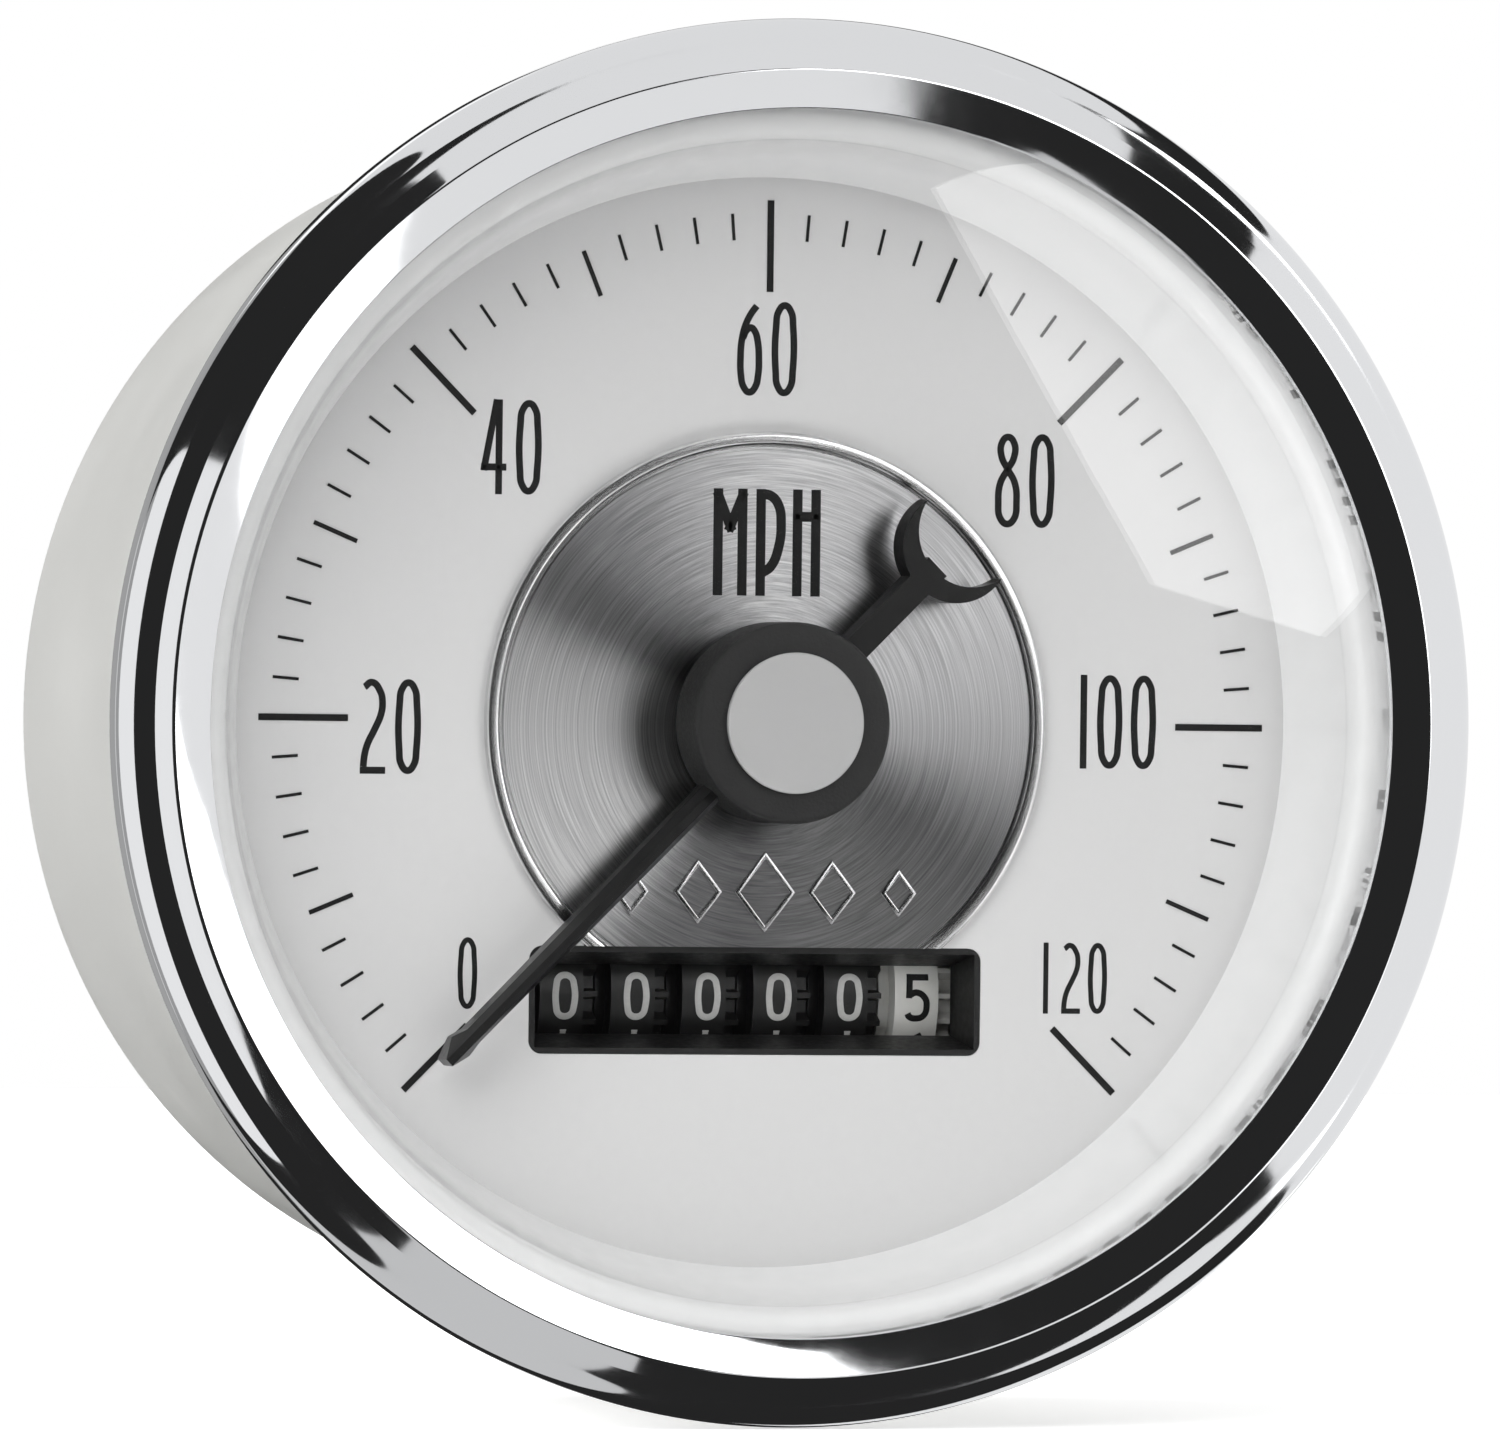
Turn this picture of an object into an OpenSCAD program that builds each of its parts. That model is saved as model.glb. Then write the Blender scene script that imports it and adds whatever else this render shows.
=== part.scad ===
// Mechanical in-dash speedometer with a six-drum odometer, in millimetres.
// The dial faces -Y, +Z is up and +X is to the right when the dial is read.
// The origin is on the dial's axis, where the bezel's back seats on the panel.

/* [Bezel and glass] */
// Distance that the bezel reaches past the panel's hole all round
bezel_reach = 3.3; // [2.6:0.1:5]
// Thickness of the bezel's metal
bezel_metal = 0.6; // [0.4:0.05:0.7]
// Width of the straight band at the bezel's back edge
bezel_band = 1.5; // [1.3:0.1:1.7]
// Distance from the bezel's rim in to the foot of its second step
step_in = 2.25; // [2.15:0.05:2.35]
// Depth of that foot below the bezel's inner edge
step_drop = 0.07; // [0.02:0.01:0.1]
// Distance from the bezel's rim in to its crest
crest_in = 3.45; // [3.35:0.05:3.6]
// Height of the crest above the bezel's inner edge
crest_rise = 0.6; // [0.5:0.05:0.8]
// Width of the bezel's face, from its rim to the glass
bezel_face_w = 5.95; // [5:0.05:7.5]
// Thickness of the glass
glass_t = 1.4; // [1:0.1:2]
// Height of the glass's dome
glass_dome = 0.5; // [0.2:0.1:0.6]
// Width of the rubber ring round the glass
gasket_w = 1.2; // [0.8:0.1:1.6]

/* [Case] */
// Diameter of the hole in the panel that the case goes through
panel_hole_d = 85.8; // [84.5:0.1:87]
// Clearance between the case and the panel hole all round
panel_gap = 0.4; // [0.2:0.05:0.6]
// Length of the straight neck behind the bezel
neck_len = 8; // [6:0.5:14]
// Thickness of the case's metal
case_metal = 0.6; // [0.5:0.05:0.8]
// Taper of the case, as the loss of radius from its neck to its back
case_taper = 2.2; // [0:0.1:4]
// Radius of the case's back edge
case_corner = 2; // [1:0.25:3]

/* [Dial] */
// Depth of the dial's face behind the panel seat
dial_depth = 6.6; // [6.2:0.1:8]
// Thickness of the dial plate
dial_t = 0.8; // [0.6:0.05:1.2]
// Width of the reflector ring, from the glass in to the dial that shows
reflector_w = 4.25; // [3:0.05:6]
// Thickness of the reflector ring's wall
reflector_t = 0.4; // [0.3:0.05:0.6]
// Radius of the reflector ring's rounded lip
reflector_lip = 1.95; // [1.4:0.05:2.2]
// Highest speed on the scale
top_speed = 120; // [80:20:160]
// Speed from one mark to the next
mark_step = 2; // [2:2:4]
// Angle of the whole scale
scale_sweep = 270; // [240:5:280]
// Length of a long mark
long_mark = 6.06; // [4:0.1:7]
// Length of a middle mark
middle_mark = 3.18; // [2:0.1:4]
// Length of a short mark
short_mark = 1.76; // [1:0.1:3]
// Width of a long mark
long_mark_w = 0.45; // [0.3:0.05:0.8]
// Width of a middle mark
middle_mark_w = 0.3; // [0.2:0.05:0.5]
// Width of a short mark
short_mark_w = 0.2; // [0.15:0.05:0.4]
// Diameter of the brushed centre disc
disc_d = 38.4; // [34:0.2:42]
// Thickness of the centre disc
disc_t = 0.5; // [0.3:0.05:0.8]
// Width of the centre disc's raised rim
disc_rim = 0.9; // [0.6:0.05:1.4]

/* [Pointer] */
// Distance that the pointer's tip stays inside the scale's outer end
tip_in = 2.7; // [0:0.1:6]
// Thickness of the pointer's blade
blade_t = 2.3; // [1.6:0.1:2.8]
// Height of the blade's ridge above the dial
blade_top = 4.66; // [4.2:0.05:5.2]
// Width of the blade at the hub
blade_w = 1.6; // [1.2:0.05:2.4]
// Width of the blade's spade end
spade_w = 1.75; // [1.3:0.05:2.4]
// Distance from the axis to the middle of the tail's crescent
crescent_at = 16.6; // [14:0.1:17.5]
// Diameter of the crescent
crescent_d = 7.44; // [6:0.1:8]
// Diameter of the pointer's hub
hub_d = 13.28; // [11:0.1:15]
// Height of the hub's back above the dial
hub_gap = 1.8; // [1.3:0.1:2]
// Length of the hub
hub_len = 5.2; // [4.6:0.1:5.4]
// Diameter of the cap on the hub
cap_d = 9.28; // [7:0.1:11]
// Thickness of the cap
cap_t = 0.57; // [0.4:0.05:0.8]
// Diameter of the pointer's spindle
spindle_d = 1.2; // [1:0.05:1.5]

/* [Odometer] */
// Height of the window in the dial
window_h = 7.1; // [6.4:0.1:7.6]
// Middle of the window along X
window_x = -0.4; // [-0.6:0.1:-0.2]
// Middle of the window along Z
window_y = -18.4; // [-19:0.1:-18.1]
// Depth of the black shroud behind the dial's face
shroud_depth = 3.95; // [3:0.05:4]
// Slope of the shroud's two ends, from the window in to the drums
shroud_end_w = 1; // [0.6:0.1:1.4]
// Slope of the shroud's long sides, from the window in to the drums
shroud_side_w = 1.45; // [1:0.05:1.8]
// Diameter of the number drums
drum_d = 12.4; // [12:0.1:12.8]
// Gap between two drums' number bands, for the carry gears
drum_gap = 1.9; // [1.8:0.05:2.4]
// Width of a drum's number band
band_w = 3; // [2.4:0.05:4]
// Depth of the drums' front behind the dial's face
drum_depth = 4.1; // [4.1:0.1:5]
// Diameter of the drums' axle
axle_d = 2; // [1.6:0.1:2.4]

/* [Gears and magnet] */
// Module of the drive gears
drive_m = 0.5; // [0.44:0.01:0.56]
// Pitch radius of the worms
worm_r = 2.25; // [2.1:0.05:2.6]
// Diameter of the two cross shafts
shaft_d = 2; // [1.6:0.1:2.2]
// Thickness of the gears
gear_t = 1; // [0.8:0.05:1.1]
// Diameter of the magnet
magnet_d = 18; // [16:0.5:20]
// Thickness of the magnet
magnet_t = 4.5; // [3.5:0.25:5.5]
// Air gap between the magnet, the speed cup and the field cup
air_gap = 0.6; // [0.4:0.05:0.9]
// Turns of the hairspring
spring_turns = 4.5; // [3.5:0.5:5.5]

/* [Frame] */
// Thickness of the frame's base
base_t = 3.1; // [2.5:0.1:4]
// Space between the lowest gear and the frame's base
base_gap = 0.9; // [0.5:0.1:8]
// Thickness of the bridge plate
bridge_t = 1.5; // [1.2:0.1:2]
// Distance of the bridge's pillars from the middle
pillar_x = 20; // [18:0.5:21]
// Diameter of the bridge's pillars
pillar_d = 5; // [4.5:0.1:5.5]
// Distance of the dial's feet from the middle
foot_x = 13; // [12:0.5:14]
// Thickness of the odometer's side plates
side_plate_t = 1; // [0.8:0.1:1.2]

/* [Cable drive and mounts] */
// Outside diameter of the threaded cable nose
nose_d = 22.22; // [21:0.02:23]
// Length of the cable nose behind the case
nose_len = 15.6; // [12:0.2:20]
// Diameter of the socket for the cable's ferrule
ferrule_d = 11; // [10.6:0.1:13]
// Depth of the socket for the cable's ferrule
ferrule_depth = 8; // [6:0.5:10]
// Width of the square hole for the cable's end
square_w = 2.7; // [2.4:0.1:3]
// Diameter of the mounting studs
stud_d = 4.82; // [4:0.02:5]
// Distance between the mounting studs
stud_spacing = 42; // [40:0.5:43]
// Length of the studs behind the case
stud_len = 14; // [10:0.5:20]

/* [Lighting] */
// Distance of each lamp's middle from the case's side
lamp_in = 10.3; // [8.5:0.1:12]
// Angle of each lamp above the middle
lamp_angle = 37; // [32:1:60]
// Diameter of the lamp sockets
socket_d = 11; // [9:0.5:11]
// Length of the lamp sockets behind the case
socket_len = 9.6; // [7:0.2:12]

/* [Hidden] */

$fn = 96;
part_gap = 0.02;        // between two fixed pieces, one inside the other
lens_bevel_w = 1.3;
lens_bevel_h = 0.45;
run_gap = 0.05;         // all round a shaft that turns in a hole
side_gap = 0.2;         // beside a turning gear or drum
free_gap = 0.4;         // between pieces that pass each other
print_t = 0.05;
arc_steps = 10;

// The stack from the panel seat forward
flange_z = bezel_metal;
lip_z = flange_z + case_metal;
glass_z = lip_z + reflector_t;
edge_z = glass_z + glass_t;
bezel_r = panel_hole_d / 2 + bezel_reach;
rim_r = bezel_r - bezel_metal - 0.3;
glass_r = rim_r - gasket_w;
sight_r = bezel_r - bezel_face_w;
neck_r = panel_hole_d / 2 - panel_gap;
neck_root = 0.8;
dial_sight_r = sight_r - reflector_w;

// The dial
dial_z = -dial_depth;
dial_back = dial_z - dial_t;
dial_r = dial_sight_r + reflector_t + 2;
scale_in = 1.5;
scale_r = dial_sight_r - scale_in;
pointer_reach = scale_r - tip_in;
middle_mark_in = 1.05;
short_mark_in = 0.84;
mark_count = top_speed / mark_step;
mark_angle = scale_sweep / mark_count;
rest_angle = 90 + scale_sweep / 2;
disc_r = disc_d / 2;
disc_z = dial_z + disc_t;
disc_rim_h = 0.3;
spindle_r = spindle_d / 2;
dial_hole_r = spindle_r + 0.6;

// The odometer's drums and carry gears, from left to right
drum_pitch = band_w + drum_gap;
window_w = 6 * drum_pitch + 1.6;
shroud_w = window_w - 2 * shroud_end_w;
shroud_h = window_h - 2 * shroud_side_w;
drum_r = drum_d / 2;
drum_y = window_y + 0.3;
drum_z = dial_z - drum_depth - drum_r;
band_left = -1.8;
band_right = band_left + band_w;
carry_gear_t = 1;
latch_t = drum_gap - carry_gear_t - side_gap;
wheel_teeth = 20;
pinion_teeth = 8;
addendum = 0.9;
dedendum = 1.1;
tooth_fill = 0.75;
carry_m = (drum_r - 0.2) / (wheel_teeth / 2 + addendum);
carry_angle = -135;
carry_reach = carry_m * (wheel_teeth + pinion_teeth) / 2;
carry_y = drum_y + carry_reach * cos(carry_angle);
carry_z = drum_z + carry_reach * sin(carry_angle);
carry_shaft_r = 0.7;
carry_pinion_tip = carry_m * (pinion_teeth / 2 + addendum);
latch_r = carry_reach - carry_pinion_tip - 0.3;
axle_r = axle_d / 2;
first_drum_x = -2.5 * drum_pitch;
last_drum_x = 2.5 * drum_pitch;
tenths_gear_t = gear_t + 2 * side_gap;
left_plate_x = first_drum_x + band_left - latch_t - free_gap - side_plate_t;
right_plate_x = last_drum_x + band_right + tenths_gear_t + 2 * free_gap;

// The gear train from the tenths drum back to the cable
wheel_pitch_r = drive_m * wheel_teeth / 2;
pinion_pitch_r = drive_m * pinion_teeth / 2;
wheel_tip_r = wheel_pitch_r + drive_m * addendum;
train_x = last_drum_x + band_right + side_gap;
idler_angle = -83;
counter_angle = -117;
idler_y = drum_y + 2 * wheel_pitch_r * cos(idler_angle);
idler_z = drum_z + 2 * wheel_pitch_r * sin(idler_angle);
counter_y = idler_y + (wheel_pitch_r + pinion_pitch_r) * cos(counter_angle);
counter_z = idler_z + (wheel_pitch_r + pinion_pitch_r) * sin(counter_angle);
cross_x = worm_r + wheel_pitch_r;
cross_z = counter_z - worm_r - wheel_pitch_r;
worm_wheel_t = gear_t + 0.6;
worm_pitch = PI * drive_m;
worm_turns = 3.5;
worm_len = worm_turns * worm_pitch;
shaft_r = shaft_d / 2;

// The phases of the gears, each as the angle of one of its teeth
half_tooth = 180 / wheel_teeth;
cross_wheel_phase = -90 + half_tooth;
counter_wheel_phase = -90 + half_tooth;
drum_phase = 90;
idler_phase = mesh_phase(drum_phase, idler_angle, wheel_teeth, wheel_teeth);
drive_pinion_phase = mesh_phase(idler_phase, counter_angle, wheel_teeth, pinion_teeth);
carry_phase = mesh_phase(drum_phase, carry_angle, wheel_teeth, pinion_teeth);

// The magnet, the cups round it and the bridge in front of them
field_z = cross_z + wheel_tip_r + free_gap;
field_t = 0.8;
magnet_z = field_z + field_t;
magnet_r = magnet_d / 2;
cup_wall = 0.4;
cup_r = magnet_r + air_gap + cup_wall;
cup_z = magnet_z + magnet_t + 2 * free_gap;
field_r = cup_r + air_gap + field_t;
collar_r = spindle_r + 1;
bridge_z = cup_z + cup_wall + 3.5;
bridge_front = bridge_z + bridge_t;
bridge_low = drum_y + drum_r + 1.9;
bridge_high = -bridge_low;
pillar_r = pillar_d / 2;
pillar_y = bridge_high - pillar_r - 1;
bridge_half = pillar_x + pillar_r + 1.5;
foot_r = 1.5;
foot_y = pillar_y;
screw_r = 1;
screw_head_r = 2;
screw_head_t = 1.2;
screw_len = 5;
small_screw_r = 0.8;
small_head_r = 1.5;
small_head_t = 0.8;
stop_y = 7.6;
spring_z = bridge_front + 1.4;
spring_h = 0.7;
spring_strip = 0.2;
spring_step = 0.9;
spring_r = collar_r + spring_turns * spring_step;
finger_z = spring_z + spring_h + 0.3;

// The frame and the case's back
plate_foot_w = 5;
base_z = cross_z - wheel_tip_r - base_gap - base_t;
base_top = base_z + base_t;
case_back = base_z - case_metal;
case_back_r = neck_r - case_taper;
base_fit_r = case_back_r - case_metal - case_corner;
lamp_r = case_back_r - lamp_in;
base_half = right_plate_x + side_plate_t + plate_foot_w + 2.3;
base_low = drum_y - 9.9;
base_r = 20;
plate_low = drum_y - drum_r - 1.7;
plate_high = drum_y + 5;
plate_top = drum_z + 4.5;
lug_w = 4;
lug_t = 2;
spigot_r = 8;
stud_r = stud_d / 2;
stud_x = stud_spacing / 2;
nose_r = nose_d / 2;
nose_end = case_back - nose_len;
ferrule_r = ferrule_d / 2;
input_z = nose_end + ferrule_depth;
bush_r = 4.5;
journal_r = 2.6;
input_r = 1.5;
socket_r = socket_d / 2;

echo(case_depth = -case_back, overall_depth = -nose_end + edge_z + bezel_metal + crest_rise);

// The local frame has x to the right, y up and z towards the reader
module toward_reader() rotate([90, 0, 0]) children();
module on_x_axis(at) translate(at) rotate(a = 120, v = [1, 1, 1]) children();
module on_y_axis(at) translate(at) rotate(a = -120, v = [1, 1, 1]) children();
module disc_at(z, r, t) translate([0, 0, z]) cylinder(r = r, h = t);
module ring(z, r_in, r_out, t) difference() {
    disc_at(z, r_out, t);
    disc_at(z - 1, r_in, t + 2);
}
module mirrored_x() {
    children();
    mirror([1, 0, 0]) children();
}
module mirrored_y() {
    children();
    mirror([0, 1, 0]) children();
}
module round_slab(w, h, r, t) union() {
    translate([-w / 2 + r, -h / 2, 0]) cube([w - 2 * r, h, t]);
    translate([-w / 2, -h / 2 + r, 0]) cube([w, h - 2 * r, t]);
    mirrored_x() mirrored_y() translate([w / 2 - r, h / 2 - r, 0]) cylinder(r = r, h = t, $fn = 48);
}

// Points of an elliptical arc from one angle to another
function arc(cx, cy, rx, ry, a, b) =
    [for (i = [0:arc_steps]) let (t = a + (b - a) * i / arc_steps) [cx + rx * cos(t), cy + ry * sin(t)]];
// Points of a bulge over the straight line from p to q
function bulge(p, q, rise) =
    [for (i = [1:arc_steps - 1]) let (s = i / arc_steps) p + (q - p) * s + [0, 4 * rise * s * (1 - s)]];
// The phase of gear 2 that meshes with gear 1, which lies at the angle direction from gear 1
function mesh_phase(phase, direction, teeth_1, teeth_2) =
    direction + 180 - teeth_1 / teeth_2 * (phase - direction) - 180 / teeth_2;
// The outline of a gear of some of its teeth, and of the core under them
function tooth(m, n, angle) = let (
        pitch = m * n / 2,
        half = 90 / n * tooth_fill,
        tip = pitch + addendum * m,
        root = pitch - dedendum * m)
    [[root, -1.25 * half], [tip, -0.5 * half], [tip, 0.5 * half], [root, 1.25 * half]];
function gear_outline(m, n) = [for (k = [0:n - 1]) for (p = tooth(m, n, 0))
    p[0] * [cos(360 * k / n + p[1]), sin(360 * k / n + p[1])]];

module gear(m, n, phase, t) rotate([0, 0, phase]) linear_extrude(t) polygon(gear_outline(m, n));

// The cam shape that makes a worm's thread when it is twisted along the axis
worm_tip = worm_r + addendum * drive_m;
worm_root = worm_r - dedendum * drive_m;
thread_tip = 37;
thread_root = 98;
cam_steps = 8;
worm_cam = concat(
    [for (i = [0:2]) let (a = -thread_tip + thread_tip * i) worm_tip * [cos(a), sin(a)]],
    [for (i = [1:4]) let (a = thread_tip + (thread_root - thread_tip) * i / 4,
            r = worm_tip + (worm_root - worm_tip) * i / 4) r * [cos(a), sin(a)]],
    [for (i = [1:cam_steps - 1]) let (a = thread_root + (360 - 2 * thread_root) * i / cam_steps)
        worm_root * [cos(a), sin(a)]],
    [for (i = [4:-1:1]) let (a = -thread_tip - (thread_root - thread_tip) * i / 4,
            r = worm_tip + (worm_root - worm_tip) * i / 4) r * [cos(a), sin(a)]]);

module worm(bore) difference() {
    rotate([0, 0, -180 * worm_turns]) translate([0, 0, -worm_len / 2])
        linear_extrude(worm_len, twist = -360 * worm_turns, slices = 12 * worm_turns,
            segments = len(worm_cam)) polygon(worm_cam);
    translate([0, 0, -worm_len]) cylinder(r = bore, h = 2 * worm_len, $fn = 48);
}

// Two-step plated bezel, spun over the case's flange at its back
module bezel() color("gainsboro") toward_reader() rotate_extrude($fn = 180) {
    back_lip_r = neck_r + neck_root + 0.3;
    edge_round = 0.4;
    front_z = edge_z + bezel_metal;
    // The first step is a bead that flattens towards a hollow at the foot of the second one
    bead_w = 1.8;
    bead_r = bezel_r - bead_w;
    bead_h = edge_z + 0.32 - bezel_band;
    bead_end = 76;
    flat = [bead_r + bead_w * cos(bead_end), bezel_band + bead_h * sin(bead_end)];
    foot = [bezel_r - step_in, front_z - step_drop];
    crest = [bezel_r - crest_in, front_z + crest_rise];
    shoulder = crest + [0.25, -0.08];
    polygon(concat(
        [[back_lip_r, 0]],
        arc(bezel_r - edge_round, edge_round, edge_round, edge_round, -90, 0),
        arc(bead_r, bezel_band, bead_w, bead_h, 0, bead_end),
        bulge(flat, foot, -0.01),
        [foot],
        bulge(foot, shoulder, 0.005),
        [shoulder],
        bulge(shoulder, crest, 0.02),
        [crest],
        bulge(crest, [sight_r, front_z], 0.03),
        [[sight_r, front_z - 0.1], [sight_r, edge_z], [sight_r + 0.6, edge_z]],
        [crest - [0, bezel_metal + 0.1], foot - [0.05, bezel_metal]],
        arc(bead_r, bezel_band, bead_w - bezel_metal, edge_z - 0.3 - bezel_band, 90, 0),
        [[bezel_r - bezel_metal, bezel_metal], [back_lip_r, bezel_metal]]));
}

// Rubber ring that centres the glass in the bezel, rounded where the bezel's bead curves over it
module lens_gasket() color("dimgray") toward_reader() rotate_extrude() {
    inner = glass_r + part_gap;
    top_z = edge_z - lens_bevel_h;
    round_w = min(0.9, rim_r - inner - 0.1);
    round_h = 0.5;
    polygon(concat(
        [[inner, glass_z], [rim_r, glass_z]],
        arc(rim_r - round_w, top_z - round_h, round_w, round_h, 0, 90),
        [[inner, top_z]]));
}

// Glass, a little domed over the dial, flat where the bezel holds it and bevelled under the bezel's bead
module lens() color("aliceblue", 0.3) toward_reader() rotate_extrude($fn = 120) {
    dome = [for (i = [0:arc_steps]) let (s = i / arc_steps) [sight_r * s, glass_dome * (1 - s * s)]];
    back = [for (p = dome) p + [0, glass_z]];
    front = [for (i = [arc_steps:-1:0]) dome[i] + [0, edge_z]];
    rim = [[glass_r, glass_z], [glass_r, edge_z - lens_bevel_h], [glass_r - lens_bevel_w, edge_z]];
    polygon(concat(back, rim, front));
}

// White ring that leads the eye and the lamps' light from the glass down to the dial
module reflector_ring() color("whitesmoke") toward_reader() rotate_extrude($fn = 120) {
    lip_r = sight_r - reflector_lip;
    turn_z = glass_z - reflector_lip;
    inner = reflector_lip - reflector_t;
    polygon(concat(
        [[rim_r - 0.3, glass_z]],
        arc(sight_r, turn_z, reflector_lip, reflector_lip, 90, 180),
        [[dial_sight_r, dial_z], [dial_sight_r + reflector_t, dial_z]],
        arc(sight_r, turn_z, inner, inner, 180, 90),
        [[rim_r - 0.3, lip_z]]));
}

module at_dial_feet() mirrored_x() mirrored_y() translate([foot_x, foot_y, 0]) children();
module at_pillars() mirrored_x() mirrored_y() translate([pillar_x, pillar_y, 0]) children();

// White dial with four feet that stand on the bridge
module dial_plate() color("gainsboro") toward_reader() difference() {
    union() {
        disc_at(dial_back, dial_r, dial_t);
        at_dial_feet() disc_at(bridge_front, foot_r, dial_back - bridge_front);
    }
    disc_at(dial_back - 1, dial_hole_r, dial_t + 2);
    translate([window_x, window_y, dial_back - 1])
        round_slab(window_w + 2 * part_gap, window_h + 2 * part_gap, 0.9, dial_t + 2);
    at_dial_feet() disc_at(bridge_front - 1, small_screw_r + part_gap, 5);
}

// Printed marks of the scale, long, middle and short
module dial_marks() color("black") toward_reader() for (k = [0:mark_count]) {
    is_long = k % 10 == 0;
    is_middle = !is_long && k % 5 == 0;
    end_r = scale_r - (is_long ? 0 : is_middle ? middle_mark_in : short_mark_in);
    mark_len = is_long ? long_mark : is_middle ? middle_mark : short_mark;
    mark_w = is_long ? long_mark_w : is_middle ? middle_mark_w : short_mark_w;
    rotate([0, 0, rest_angle - k * mark_angle])
        translate([end_r - mark_len, -mark_w / 2, dial_z]) cube([mark_len, mark_w, print_t]);
}

// Brushed disc with a raised rim, cut straight above the window
module centre_disc() color("silver") toward_reader() difference() {
    union() {
        disc_at(dial_z, disc_r, disc_t);
        ring(dial_z, disc_r - disc_rim, disc_r, disc_t + disc_rim_h);
    }
    ring(disc_z - 0.15, disc_r - disc_rim - 0.25, disc_r - disc_rim, 1);
    disc_at(dial_z - 1, dial_hole_r, disc_t + 2);
    translate([-disc_r, window_y + window_h / 2 - disc_d, dial_z - 1]) cube([disc_d, disc_d, disc_t + 3]);
}

// Row of raised lozenges, larger towards the middle
ornament_y = -11.2;
ornament_pitch = 4.6;
lozenge_w = 4.2;
lozenge_h = 5.4;
lozenge_line_w = 0.8;
lozenge_line_h = 1;
module lozenge(w, h, t) linear_extrude(t) polygon([[-w / 2, 0], [0, -h / 2], [w / 2, 0], [0, h / 2]]);
module disc_ornament() color("lightgray") toward_reader() for (i = [-2:2]) {
    shrink = 1 - 0.2 * abs(i);
    translate([i * ornament_pitch, ornament_y, disc_z]) difference() {
        lozenge(lozenge_w * shrink, lozenge_h * shrink, 0.15);
        translate([0, 0, -1])
            lozenge(lozenge_w * shrink - lozenge_line_w, lozenge_h * shrink - lozenge_line_h, 2);
    }
}

// Black frame of the odometer's window, glued behind the dial
module odometer_shroud() color("black") toward_reader() translate([window_x, window_y, 0]) {
    mouth_w = window_w - 0.8;
    mouth_h = window_h - 0.8;
    flange_t = 0.8;
    difference() {
        union() {
            translate([0, 0, dial_z - shroud_depth]) round_slab(window_w, window_h, 0.9, shroud_depth);
            translate([0, 0, dial_back - flange_t]) round_slab(window_w + 4, window_h + 3.4, 1.5, flange_t);
        }
        hull() {
            translate([-mouth_w / 2, -mouth_h / 2, dial_z]) cube([mouth_w, mouth_h, 1]);
            translate([-shroud_w / 2, -shroud_h / 2, dial_z - shroud_depth - 1]) cube([shroud_w, shroud_h, 1]);
        }
    }
}

ridge_z = dial_z + blade_top;
blade_z = ridge_z - blade_t;
stem_w = 1.75;

// The blade's outline seen from the front, and its ridged section seen from its end
function both_sides(half) = concat(half, [for (i = [len(half) - 1:-1:0]) [half[i][0], -half[i][1]]]);
module ridged_blade() {
    spade_at = pointer_reach - 1.5;
    slope = blade_t * 0.55;
    ridge_w = blade_w * 0.35;
    intersection() {
        linear_extrude(blade_t) polygon(both_sides([[0, blade_w / 2], [spade_at - 1, blade_w * 0.375],
            [spade_at, spade_w / 2], [pointer_reach, spade_w * 0.175]]));
        on_x_axis([-1, 0, 0]) linear_extrude(pointer_reach + 2) polygon([[-spade_w, 0], [spade_w, 0],
            [spade_w / 2, blade_t - slope], [ridge_w / 2, blade_t], [-ridge_w / 2, blade_t],
            [-spade_w / 2, blade_t - slope]]);
    }
}

// Blade and crescent tail, with an eye for the spindle between them
module pointer_blade() color("black") toward_reader() rotate([0, 0, rest_angle]) difference() {
    horn_shift = 1.5;
    translate([0, 0, blade_z]) union() {
        ridged_blade();
        cylinder(r = 2.4, h = blade_t);
        translate([-crescent_at + crescent_d / 4, -stem_w / 2, 0])
            cube([crescent_at - crescent_d / 4, stem_w, blade_t]);
        difference() {
            translate([-crescent_at, 0, 0]) cylinder(d = crescent_d, h = blade_t);
            translate([-crescent_at - horn_shift, 0, -1]) cylinder(d = crescent_d - 0.02, h = blade_t + 2);
        }
    }
    translate([0, 0, blade_z - 1]) cylinder(r = spindle_r + part_gap, h = blade_t + 2, $fn = 48);
}

// Moulded hub, slotted at its back for the blade
hub_z = dial_z + hub_gap;
hub_front = hub_z + hub_len;
cap_spigot_r = 1.5;
cap_spigot_len = 1;
module pointer_hub() color("#222222") toward_reader() difference() {
    hub_r = hub_d / 2;
    union() {
        disc_at(hub_z, hub_r, hub_len - 0.4);
        disc_at(hub_front - 0.4, hub_r - 0.4, 0.4);
        translate([0, 0, hub_front - 0.4]) rotate_extrude()
            translate([hub_r - 0.4, 0]) circle(r = 0.4, $fn = 32);
    }
    rotate([0, 0, rest_angle]) translate([0, 0, hub_z - 1]) {
        slot_h = ridge_z - hub_z + 1 + part_gap;
        translate([-hub_d, -stem_w / 2 - part_gap, 0]) cube([hub_d, stem_w + 2 * part_gap, slot_h]);
        translate([0, -blade_w / 2 - part_gap, 0]) cube([hub_d, blade_w + 2 * part_gap, slot_h]);
        cylinder(r = 2.4 + part_gap, h = slot_h);
    }
    disc_at(hub_z - 1, spindle_r + part_gap, spindle_top + part_gap - hub_z + 1);
    disc_at(hub_front - cap_spigot_len - part_gap, cap_spigot_r + part_gap, 3);
}

// Grey cap with a spigot that holds it in the hub
module pointer_cap() color("darkgray") toward_reader() {
    disc_at(hub_front, cap_d / 2, cap_t);
    disc_at(hub_front - cap_spigot_len, cap_spigot_r, cap_spigot_len);
}

spindle_top = hub_front - cap_spigot_len - 0.2;
spindle_end = cup_z - 1.4;
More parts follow.
